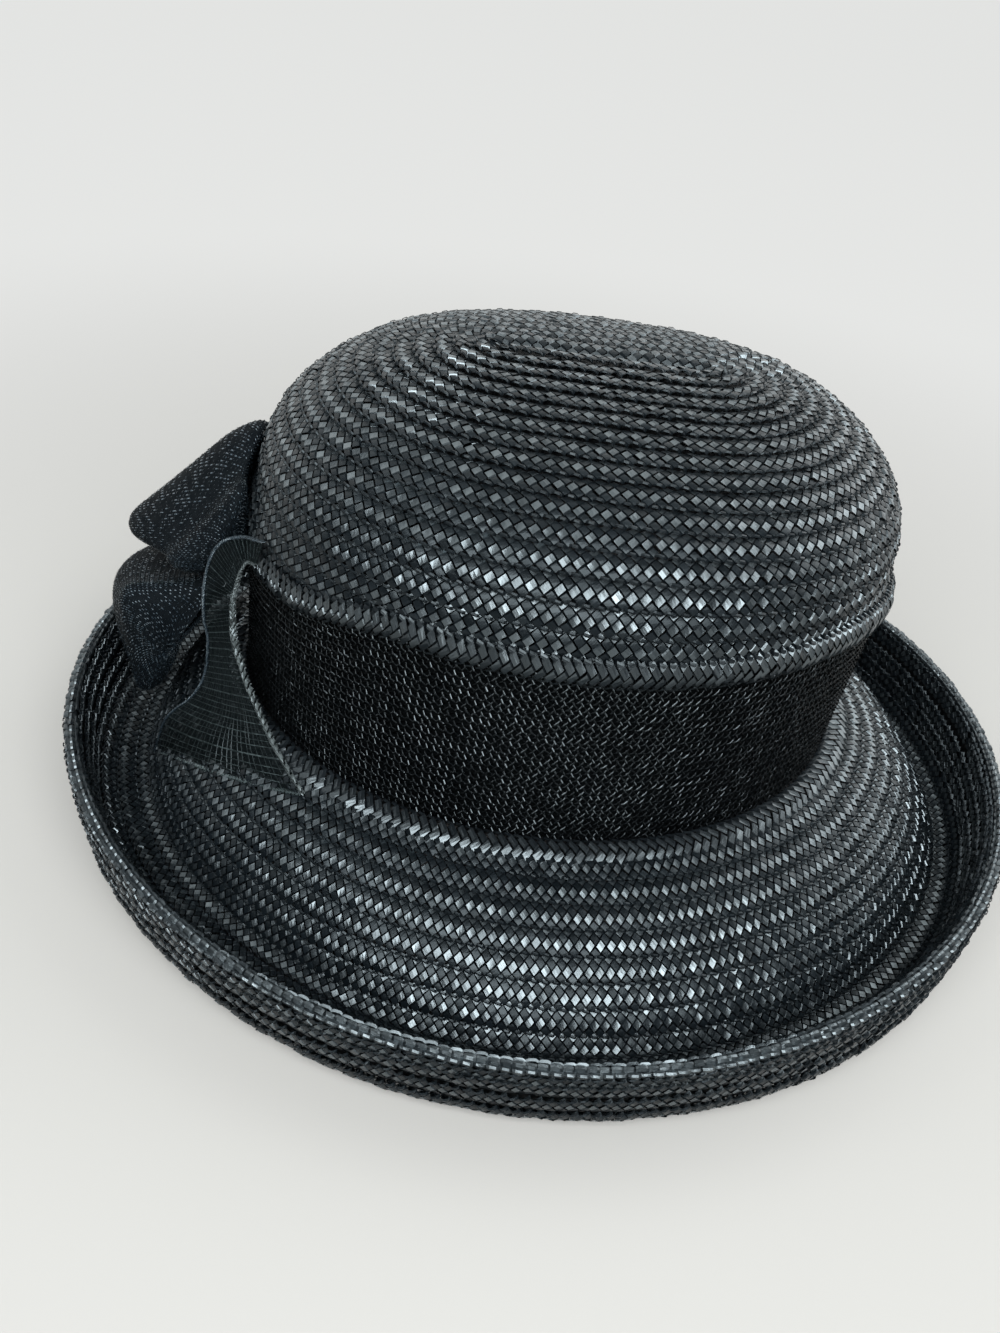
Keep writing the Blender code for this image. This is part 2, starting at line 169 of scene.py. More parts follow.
def between(
    table: np.ndarray, i: np.ndarray, j: np.ndarray, u: np.ndarray, v: np.ndarray
) -> np.ndarray:
    """Values between the points of a table.

    Args:
        table: The table, as an array of [n, m, 3].
        i: Rows of the points before the places.
        j: Columns of those points.
        u: Shares of the step to the next row.
        v: Shares of the step to the next column.

    Returns:
        The values.
    """
    near = blend(table[i, j], table[i + 1, j], u)
    far = blend(table[i, j + 1], table[i + 1, j + 1], u)
    return blend(near, far, v)


def share_at(table: Table, angle: np.ndarray) -> np.ndarray:
    """Share at angles in radians, eased between the rows of a table that goes round.

    Args:
        table: Rows of degrees and share, from 0 to 360 degrees.
        angle: Angles round the hat, in radians.

    Returns:
        The share at each angle.
    """
    turn = np.degrees(angle) % 360.0
    degrees = np.array([row[0] for row in table])
    shares = np.array([row[1] for row in table])
    index = np.clip(np.searchsorted(degrees, turn, side="right") - 1, 0, len(table) - 2)
    step = eased((turn - degrees[index]) / (degrees[index + 1] - degrees[index]))
    return blend(shares[index], shares[index + 1], step)


def wall_halves(height: np.ndarray) -> tuple[np.ndarray, np.ndarray]:
    """Half sizes of the band's outer oval.

    Args:
        height: Heights over the seam between crown and brim.

    Returns:
        The half lengths and the half widths.
    """
    low = np.clip(height / SIZES.wall_height, 0.0, 1.0)
    rest = (height - SIZES.wall_height) / (SIZES.shoulder_height - SIZES.wall_height)
    high = np.clip(rest, 0.0, None)
    proud = SIZES.band_wall + SIZES.gap
    half_length = blend(SIZES.seam_half_length, SIZES.wall_top_half_length, low)
    half_width = blend(SIZES.seam_half_width, SIZES.wall_top_half_width, low)
    half_length += high * (SIZES.shoulder_half_length + proud - SIZES.wall_top_half_length)
    half_width += high * (SIZES.shoulder_half_width + proud - SIZES.wall_top_half_width)
    return half_length, half_width


class Surface:
    """One face of the hat as a table of points, closed round and open down its rows.

    The first axis goes once round and ends where it starts. The second axis goes down the
    face, and rows counts it in rows of braid.
    """

    def __init__(self, points: np.ndarray, rows: float, outward: float = 1.0) -> None:
        """Store the points and work out the normals.

        Args:
            points: Points as an array of [around, down, 3].
            rows: How many rows of braid lie between the first and the last point.
            outward: 1 for the face itself, -1 for the other side of it.
        """
        self.points = points
        self.rows = rows
        wrapped = np.concatenate([points[-2:-1], points, points[1:2]], axis=0)
        around = wrapped[2:] - wrapped[:-2]
        down = np.gradient(points, axis=1)
        self.normals = outward * unit(np.cross(down, around))

    def sample(self, turn: np.ndarray, row: np.ndarray) -> tuple[np.ndarray, np.ndarray]:
        """Points and normals at places on the face.

        Args:
            turn: Whole turns round the hat, of any size.
            row: Row of braid, counted from the first point.

        Returns:
            Points and unit normals, each of shape [n, 3].
        """
        across = (np.asarray(turn) % 1.0) * (self.points.shape[0] - 1)
        share = np.clip(np.asarray(row) / self.rows, 0.0, 1.0)
        down = share * (self.points.shape[1] - 1)
        i = np.minimum(across.astype(int), self.points.shape[0] - 2)
        j = np.minimum(down.astype(int), self.points.shape[1] - 2)
        u, v = (across - i)[..., None], (down - j)[..., None]
        return between(self.points, i, j, u, v), unit(between(self.normals, i, j, u, v))


def evenly(points: np.ndarray, count: int) -> np.ndarray:
    """Respace each line of points to even steps along its own length.

    Args:
        points: Lines as an array of [lines, points, 3].
        count: Points wanted on each line.

    Returns:
        The lines as an array of [lines, count, 3].
    """
    steps = np.linalg.norm(np.diff(points, axis=1), axis=2)
    travelled = np.concatenate([np.zeros((len(points), 1)), np.cumsum(steps, axis=1)], axis=1)
    result = np.empty((len(points), count, 3))
    for line in range(len(points)):
        wanted = np.linspace(0.0, travelled[line, -1], count)
        for axis in range(3):
            result[line, :, axis] = np.interp(wanted, travelled[line], points[line, :, axis])
    return result


def brim_line() -> np.ndarray:
    """Middle line of the brim's straw, from under the band to the rim.

    Returns:
        Rows of distance out from the seam, height over it, and heading in radians.
    """
    upright = math.pi / 2 - SIZES.upturn_lean
    runs = (
        (SIZES.brim_tuck, 0.0, 0.0, TUCK_STEPS),
        (SIZES.slope_length, -SIZES.slope_start, -SIZES.slope_end, SLOPE_STEPS),
        (SIZES.curl_radius * SIZES.slope_end, -SIZES.slope_end, 0.0, CURL_STEPS),
        (SIZES.rest_flat, 0.0, 0.0, FLAT_STEPS),
        (SIZES.curl_radius * upright, 0.0, upright, UPTURN_STEPS),
        (SIZES.upturn_length, upright, upright, UPTURN_STEPS),
    )
    out, height = -SIZES.brim_tuck, 0.0
    line = [(out, height, 0.0)]
    for length, start, end, steps in runs:
        for index in range(steps):
            heading = blend(start, end, (index + 0.5) / steps)
            out += length / steps * math.cos(heading)
            height += length / steps * math.sin(heading)
            line.append((out, height, blend(start, end, (index + 1) / steps)))
    return np.array(line)


BRIM_LINE = brim_line()
BRIM_REACH = float(BRIM_LINE[-1, 0])
BRIM_DROP = float(-BRIM_LINE[:, 1].min())
REST_OUT = float(BRIM_LINE[BRIM_LINE[:, 1] < 1e-9 - BRIM_DROP, 0].mean())
SEAM_HEIGHT = 0.03986
RIM_RISE = float(BRIM_LINE[-1, 1]) + BRIM_DROP
BRIM_ROWS = 15.0
DOME_ROWS = 17.3
CROWN_ROWS = 20.0
FLOOR_CLEARANCE = 0.0014
CROWN_INSET = 0.0022


def brim_points(angles: np.ndarray, lift: float) -> np.ndarray:
    """Points of the brim's face along its section, at each angle.

    Args:
        angles: Angles round the hat, in radians.
        lift: Distance above the middle of the straw, negative below it.

    Returns:
        Points as an array of [angles, section, 3].
    """
    out, height, heading = (BRIM_LINE[:, index][None, :] for index in range(3))
    angle = angles[:, None]
    rest = share_at(CURL_PLACE, angle) * BRIM_REACH
    saddle = 1.0 + SIZES.rim_saddle * np.cos(2.0 * angle) / RIM_RISE
    beyond = (out - REST_OUT) / (BRIM_REACH - REST_OUT)
    placed = np.where(out <= REST_OUT, out * rest / REST_OUT, blend(rest, BRIM_REACH, beyond))
    placed = np.where(out <= 0.0, out, placed)
    raised = np.where(out > REST_OUT, -BRIM_DROP + (height + BRIM_DROP) * saddle, height)
    heading = np.broadcast_to(heading, placed.shape)
    away = placed - lift * np.sin(heading)
    level = raised + lift * np.cos(heading)
    centring = np.clip(away / (SIZES.centred_share * BRIM_REACH), 0.0, 1.0)
    long_out = away * np.where(away > 0.0, SIZES.long_share, 1.0)
    x = SIZES.crown_centre_x * (1.0 - centring)
    y = SIZES.crown_centre_y * (1.0 - centring)
    return np.stack([
        x + (SIZES.seam_half_length + long_out) * np.cos(angle),
        y + (SIZES.seam_half_width + away) * np.sin(angle),
        SEAM_HEIGHT + level,
    ], axis=2)


def leaned(x: np.ndarray, y: np.ndarray, height: np.ndarray) -> np.ndarray:
    """Place points of the crown, which leans as it rises.

    Args:
        x: Places along the oval from its centre.
        y: Places across the oval from its centre.
        height: Heights over the seam.

    Returns:
        The points.
    """
    height = np.broadcast_to(height, np.shape(x))
    return np.stack([
        SIZES.crown_centre_x + x + SIZES.crown_lean_x * height,
        SIZES.crown_centre_y + y + SIZES.crown_lean_y * height,
        SEAM_HEIGHT + height,
    ], axis=-1)


def beside_wall(
    angle: np.ndarray, out: np.ndarray, height: np.ndarray, straight: bool = False
) -> np.ndarray:
    """Points beside the band's outer face.

    Args:
        angle: Angles round the hat, in radians.
        out: Distances out from the face.
        height: Heights over the seam.
        straight: Whether the wall goes on upright past the shoulder.

    Returns:
        The points.
    """
    level = np.minimum(height, SIZES.wall_height) if straight else height
    half_length, half_width = wall_halves(level)
    return leaned((half_length + out) * np.cos(angle), (half_width + out) * np.sin(angle), height)


def crown_points(angles: np.ndarray, inset: float) -> np.ndarray:
    """Points of the crown from the line where its straw starts down to the wall's top.

    Args:
        angles: Angles round the hat, in radians.
        inset: Distance inside the crown's outer face.

    Returns:
        Points as an array of [angles, section, 3].
    """
    turns = np.linspace(0.0, math.pi / 2, 90)
    spread = np.sin(turns) ** (2.0 / SIZES.dome_power)
    rise = np.cos(turns) ** (2.0 / SIZES.dome_power)
    spread[0], rise[-1] = 0.0, 0.0
    ratio = SIZES.shoulder_half_length - SIZES.shoulder_half_width - SIZES.start_line_half
    half_width = (SIZES.shoulder_half_width - inset) * spread
    half_length = SIZES.start_line_half + half_width + ratio * spread
    height = blend(SIZES.shoulder_height, SIZES.crown_height - inset, rise)
    proud = SIZES.band_wall + SIZES.gap + inset
    half_width = np.append(half_width, SIZES.wall_top_half_width - proud)
    half_length = np.append(half_length, SIZES.wall_top_half_length - proud)
    height = np.append(height, SIZES.wall_height)
    spread = np.minimum(half_width / SIZES.shoulder_half_width, 1.0)
    square = SIZES.start_line_squareness * (1.0 - spread) + SIZES.least_squareness
    across = np.cos(angles)[:, None]
    line = SIZES.start_line_half * np.tanh(square * across) / np.tanh(square)
    x = line + (half_length - SIZES.start_line_half)[None, :] * across
    y = half_width[None, :] * np.sin(angles)[:, None]
    return leaned(x, y, height[None, :])


class Faces:
    """The hat's smooth faces, worked out once and shared by the pieces."""

    AROUND = 721
    DOWN = 300
    BAND_DOWN = 120
    BAND_LAP = 0.4

    def __init__(self) -> None:
        """Work out the tables for the brim's two faces, the crown and the band."""
        angles = np.linspace(0.0, 2.0 * math.pi, self.AROUND)
        half = SIZES.brim_wall / 2
        self.brim_top = Surface(evenly(brim_points(angles, half), self.DOWN), BRIM_ROWS)
        self.brim_under = Surface(evenly(brim_points(angles, -half), self.DOWN), BRIM_ROWS, -1.0)
        self.crown = self._crown(angles, 0.0)
        self.crown_inside = self._crown(angles, CROWN_INSET)
        self.band = self._band(angles)

    def _crown(self, angles: np.ndarray, inset: float) -> Surface:
        """Crown's face, with even rows on the dome and level rows on the wall.

        Args:
            angles: Angles round the hat, in radians.
            inset: Distance inside the outer face.

        Returns:
            The face.
        """
        dome_share = DOME_ROWS / CROWN_ROWS
        dome = evenly(crown_points(angles, inset), int(self.DOWN * dome_share))
        below = (CROWN_ROWS - DOME_ROWS) * SIZES.row_width
        heights = np.linspace(
            SIZES.wall_height, SIZES.wall_height - below, self.DOWN - dome.shape[1] + 1
        )[1:]
        proud = SIZES.band_wall + SIZES.gap + inset
        wall = beside_wall(angles[:, None], -proud, heights[None, :])
        return Surface(np.concatenate([dome, wall], axis=1), CROWN_ROWS)

    def _band(self, angles: np.ndarray) -> Surface:
        """Band's outer face from its top line, under the braid, to its foot.

        Args:
            angles: Angles round the hat, in radians.

        Returns:
            The face, as one row.
        """
        top = self.band_top(angles)[:, None] + self.BAND_LAP * SIZES.trim_width
        foot = SIZES.brim_wall / 2 + SIZES.gap
        heights = blend(top, foot, np.linspace(0.0, 1.0, self.BAND_DOWN)[None, :])
        return Surface(beside_wall(angles[:, None], 0.0, heights), 1.0)

    @staticmethod
    def band_top(angles: np.ndarray) -> np.ndarray:
        """Height over the seam of the band's visible top line."""
        return SIZES.band_height * share_at(BAND_LINE, angles)


class Graph:
    """Adds nodes to a node tree and joins them, so that each tree reads as a recipe."""

    def __init__(self, tree: bpy.types.NodeTree) -> None:
        """Hold the tree that the nodes go to."""
        self.tree = tree

    def add(self, kind: str, settings: dict | None = None, **inputs: Given) -> bpy.types.Node:
        """Add a node.

        Args:
            kind: Blender's name for the type of node.
            settings: The node's own properties.
            **inputs: Values or sockets for inputs, named with _ for a space.

        Returns:
            The new node.
        """
        node = self.tree.nodes.new(kind)
        for name, value in (settings or {}).items():
            setattr(node, name, value)
        for name, value in inputs.items():
            self.feed(node.inputs[name.replace("_", " ")], value)
        return node

    def feed(self, socket: Socket, value: Given) -> None:
        """Join another node's socket to an input, or set the input's value.

        Args:
            socket: The input.
            value: Another node's output, or a plain value.
        """
        if isinstance(value, Socket):
            self.tree.links.new(value, socket)
        else:
            socket.default_value = value

    def math(self, operation: str, first: Given, second: Given = 0.0) -> Socket:
        """Result of a Math node.

        Args:
            operation: Blender's name for the sum.
            first: First value.
            second: Second value.

        Returns:
            The node's output.
        """
        node = self.add("ShaderNodeMath", {"operation": operation})
        self.feed(node.inputs[0], first)
        self.feed(node.inputs[1], second)
        return node.outputs[0]

    def plus(self, first: Given, second: Given) -> Socket:
        """Sum of two values."""
        return self.math("ADD", first, second)

    def minus(self, first: Given, second: Given) -> Socket:
        """First value less the second."""
        return self.math("SUBTRACT", first, second)

    def times(self, first: Given, second: Given) -> Socket:
        """Product of two values."""
        return self.math("MULTIPLY", first, second)

    def uv(self) -> Socket:
        """Place on the piece's own UV map."""
        return self.add("ShaderNodeUVMap", {"uv_map": "UVMap"}).outputs[0]

    def parts(self, vector: Given) -> tuple[Socket, Socket, Socket]:
        """The three parts of a vector."""
        return tuple(self.add("ShaderNodeSeparateXYZ", Vector=vector).outputs)

    def mixed(self, factor: Given, dark: Colour, light: Colour) -> Socket:
        """Colour between two others.

        Args:
            factor: 0 for the dark colour, 1 for the light one.
            dark: The first colour.
            light: The second colour.

        Returns:
            The mixed colour.
        """
        node = self.add("ShaderNodeMix", {"data_type": "RGBA"})
        self.feed(node.inputs["Factor"], factor)
        node.inputs[6].default_value = (*dark, 1.0)
        node.inputs[7].default_value = (*light, 1.0)
        return node.outputs[2]

    def ranged(
        self, value: Given, low: float, high: float, ends: tuple[float, float] = (0.0, 1.0),
        interpolation: str = "LINEAR",
    ) -> Socket:
        """Value carried from one range to another, and held at its ends.

        Args:
            value: The value.
            low: Start of its range.
            high: End of its range.
            ends: Start and end of the new range.
            interpolation: Blender's name for the way between them.

        Returns:
            The new value.
        """
        node = self.add("ShaderNodeMapRange", {"interpolation_type": interpolation})
        given = {"Value": value, "From Min": low, "From Max": high, "To Min": ends[0], "To Max": ends[1]}
        for name, each in given.items():
            self.feed(node.inputs[name], each)
        return node.outputs[0]

    def vector(
        self, operation: str, first: Given, second: Given | None = None, scale: Given | None = None
    ) -> Socket:
        """Result of a Vector Math node.

        Args:
            operation: Blender's name for the sum.
            first: First vector.
            second: Second vector, where the sum has one.
            scale: Scale, where the sum has one.

        Returns:
            The node's output.
        """
        node = self.add("ShaderNodeVectorMath", {"operation": operation})
        self.feed(node.inputs[0], first)
        if second is not None:
            self.feed(node.inputs[1], second)
        if scale is not None:
            self.feed(node.inputs["Scale"], scale)
        return node.outputs[0]


def strand_normal(
    g: Graph, sideways: Socket, lengthways: Socket
) -> Socket:
    """Normal of a strand, leaned along and across the strand.

    Args:
        g: The material's graph.
        sideways: Lean towards the strand's side.
        lengthways: Lean towards the strand's end.

    Returns:
        The leaned normal.
    """
    normal = g.add("ShaderNodeNewGeometry").outputs["Normal"]
    side = g.add("ShaderNodeTangent", {"direction_type": "UV_MAP", "uv_map": "UVMap"}).outputs[0]
    end = g.vector("CROSS_PRODUCT", normal, side)
    leaned_side = g.vector("ADD", normal, g.vector("SCALE", side, scale=sideways))
    leaned_end = g.vector("SCALE", end, scale=lengthways)
    return g.vector("NORMALIZE", g.vector("ADD", leaned_side, leaned_end))


def new_material(name: str) -> tuple[Finish, Graph, bpy.types.ShaderNode]:
    """New material.

    Args:
        name: Name of the material.

    Returns:
        The material, its graph and its main shader.
    """
    material = bpy.data.materials.new(name)
    material.use_nodes = True
    return material, Graph(material.node_tree), material.node_tree.nodes["Principled BSDF"]


def bending_tree() -> bpy.types.NodeTree:
    """Geometry Nodes tree that lays one cell on each part of a guide and bends it there.

    The guide is a grid of points whose lines run along the braid, two lines to a row of cells
    and one more. The cell's X goes along, Y across and Z out, each from 0 to 1 in one cell.

    Returns:
        The node group.
    """
    tree = bpy.data.node_groups.new("lay_cells_on_guide", "GeometryNodeTree")
    face = tree.interface
    face.new_socket("Guide", in_out="INPUT", socket_type="NodeSocketGeometry")
    for name, kind in (
        ("Cell", "NodeSocketObject"), ("Columns", "NodeSocketInt"), ("Rows", "NodeSocketInt"),
        ("Thickness", "NodeSocketFloat"), ("Wander", "NodeSocketFloat"), ("Seed", "NodeSocketInt"),
        ("Finish", "NodeSocketMaterial"),
    ):
        face.new_socket(name, in_out="INPUT", socket_type=kind)
    face.new_socket("Geometry", in_out="OUTPUT", socket_type="NodeSocketGeometry")
    g = Graph(tree)
    given = tree.nodes.new("NodeGroupInput").outputs
    cells = g.times(given["Columns"], given["Rows"])
    points = g.add("GeometryNodePoints", Count=cells)
    cell = g.add("GeometryNodeObjectInfo", Object=given["Cell"])
    laid = g.add(
        "GeometryNodeInstanceOnPoints", Points=points.outputs[0],
        Instance=cell.outputs["Geometry"],
    )
    index = g.add("GeometryNodeInputIndex").outputs[0]
    chance = g.add(
        "FunctionNodeRandomValue", {"data_type": "FLOAT"}, ID=index, Seed=given["Seed"]
    )
    named = laid.outputs[0]
    for name, kind, value in (("cell", "INT", index), ("shade", "FLOAT", chance.outputs[1])):
        store = g.add(
            "GeometryNodeStoreNamedAttribute", {"data_type": kind, "domain": "INSTANCE"},
            Geometry=named, Name=name, Value=value,
        )
        named = store.outputs[0]
    real = g.add("GeometryNodeRealizeInstances", Geometry=named).outputs[0]

    along, across, out = g.parts(g.add("GeometryNodeInputPosition").outputs[0])
    number = g.add("GeometryNodeInputNamedAttribute", {"data_type": "INT"}, Name="cell").outputs[0]
    shade = g.add("GeometryNodeInputNamedAttribute", {"data_type": "FLOAT"}, Name="shade")
    row = g.math("FLOOR", g.math("DIVIDE", g.plus(number, 0.5), given["Columns"]))
    column = g.minus(number, g.times(row, given["Columns"]))
    line = g.plus(given["Columns"], 1.0)
    first = g.plus(g.times(g.times(row, 2.0), line), column)
    double = g.times(across, 2.0)
    less_one = g.minus(double, 1.0)
    less_two = g.minus(double, 2.0)
    weights = (
        g.times(g.times(less_one, less_two), 0.5),
        g.times(g.times(double, less_two), -1.0),
        g.times(g.times(double, less_one), 0.5),
    )
    chances = [
        g.minus(g.math("FRACT", g.times(shade.outputs[0], factor)), 0.5)
        for factor in (1.0, 57.3, 91.7)
    ]
    slant = g.plus(g.times(chances[1], along), g.times(chances[2], across))
    height = g.plus(out, g.times(g.plus(chances[0], slant), given["Wander"]))
    lift = g.times(height, given["Thickness"])
    outwards = g.add("GeometryNodeInputNamedAttribute", {"data_type": "FLOAT_VECTOR"}, Name="out")
    sources = (g.add("GeometryNodeInputPosition").outputs[0], outwards.outputs[0])
    summed = []
    for source in sources:
        total = None
        for step, weight in enumerate(weights):
            low = g.plus(first, g.times(line, float(step)))
            ends = [
                g.add(
                    "GeometryNodeSampleIndex", {"data_type": "FLOAT_VECTOR", "domain": "POINT"},
                    Geometry=given["Guide"], Value=source, Index=where,
                ).outputs[0]
                for where in (low, g.plus(low, 1.0))
            ]
            near = g.vector("SCALE", ends[0], scale=g.minus(1.0, along))
            far = g.vector("SCALE", ends[1], scale=along)
            part = g.vector("SCALE", g.vector("ADD", near, far), scale=weight)
            total = part if total is None else g.vector("ADD", total, part)
        summed.append(total)
    bent = g.vector("ADD", summed[0], g.vector("SCALE", summed[1], scale=lift))
    moved = g.add("GeometryNodeSetPosition", Geometry=real, Position=bent).outputs[0]
    dressed = g.add("GeometryNodeSetMaterial", Geometry=moved, Material=given["Finish"])
    result = tree.nodes.new("NodeGroupOutput")
    g.feed(result.inputs["Geometry"], dressed.outputs[0])
    return tree


@dataclass
class MeshParts:
    """Mesh under construction.

    Attributes:
        points: Its vertices.
        faces: Its faces, as numbers of vertices.
        places: Texture place of each vertex.
    """

    points: list = field(default_factory=list)
    faces: list = field(default_factory=list)
    places: list = field(default_factory=list)

    def add_grid(self, points: np.ndarray, places: np.ndarray, flip: bool = False) -> None:
        """Add a grid of quads.

        Args:
            points: Points as an array of [n, m, 3].
            places: Texture places as an array of [n, m, 2].
            flip: Turn the faces over.
        """
        start = len(self.points)
        rows, columns = points.shape[:2]
        self.points.extend(map(tuple, points.reshape(-1, 3)))
        self.places.extend(map(tuple, places.reshape(-1, 2)))
        for i in range(rows - 1):
            for j in range(columns - 1):
                corner = start + i * columns + j
                quad = (corner, corner + columns, corner + columns + 1, corner + 1)
                self.faces.append(tuple(reversed(quad)) if flip else quad)

    def mesh(self, name: str) -> bpy.types.Mesh:
        """Make the mesh, with its texture places as its UV map.

        Args:
            name: Name of the mesh.

        Returns:
            The mesh.
        """
        mesh = bpy.data.meshes.new(name)
        mesh.from_pydata(self.points, [], self.faces)
        layer = mesh.uv_layers.new(name="UVMap")
        corners = np.empty(len(mesh.loops), dtype=np.int32)
        mesh.loops.foreach_get("vertex_index", corners)
        places = np.array(self.places, dtype=np.float32)[corners]
        layer.data.foreach_set("uv", places.reshape(-1))
        mesh.update()
        return mesh


def show(name: str, mesh: bpy.types.Mesh) -> Piece:
    """Link a new object at the origin.

    Args:
        name: Name of the object.
        mesh: Its mesh.

    Returns:
        The object.
    """
    thing = bpy.data.objects.new(name, mesh)
    bpy.context.scene.collection.objects.link(thing)
    return thing


class Stitch(Enum):
    """Which small mesh is laid along a guide."""

    PLAIT = "plait"
    PLAIN_PLAIT = "plain_plait"
    HERRINGBONE = "herringbone"
    WEAVE = "weave"
    FOLD = "fold"
    NET = "net"


@dataclass(frozen=True)
class Straw:
    """One visible length of straw in a cell, lying over its neighbours.

    Attributes:
        centre: Its middle, along and across the cell.
        ahead: Half of its length, along and across the cell.
        beside: Half of its width, along and across the cell.
        rise: Height of its crest.
        lowered: Height that its ends lie under the crest, as a share of the rise.
        number: Its number in the cell, kept in its texture places for the finish, which gives odd
            numbers a duller gloss as painted shade.
        roll: How far its sides lie under the middle, as a share of the rise.
    """

    centre: tuple[float, float]
    ahead: tuple[float, float]
    beside: tuple[float, float]
    rise: float = 1.0
    lowered: float = 0.8
    number: int = 0
    roll: float = 0.08

    def add_to(self, parts: MeshParts, steps: tuple[float, ...], sides: tuple[float, ...]) -> None:
        """Add the straw's face to a mesh.

        Args:
            parts: The mesh under construction.
            steps: Places along the straw, from -1 to 1 and a little past them.
            sides: Places across the straw, from -1 to 1.
        """
        s = np.array(steps)[:, None]
        w = np.array(sides)[None, :]
        x = self.centre[0] + s * self.ahead[0] + w * self.beside[0]
        y = self.centre[1] + s * self.ahead[1] + w * self.beside[1]
        z = self.rise * (1.0 - self.lowered * np.abs(s) ** 5.0 - self.roll * w ** 2)
        points = np.stack(np.broadcast_arrays(x, y, z), axis=2)
        across = w * 0.45 + 0.5 + 2.0 * self.number
        places = np.stack(np.broadcast_arrays(across, s * 0.5 + 0.5), axis=2)
        turn = self.ahead[0] * self.beside[1] - self.ahead[1] * self.beside[0]
        parts.add_grid(points, places, flip=turn < 0.0)


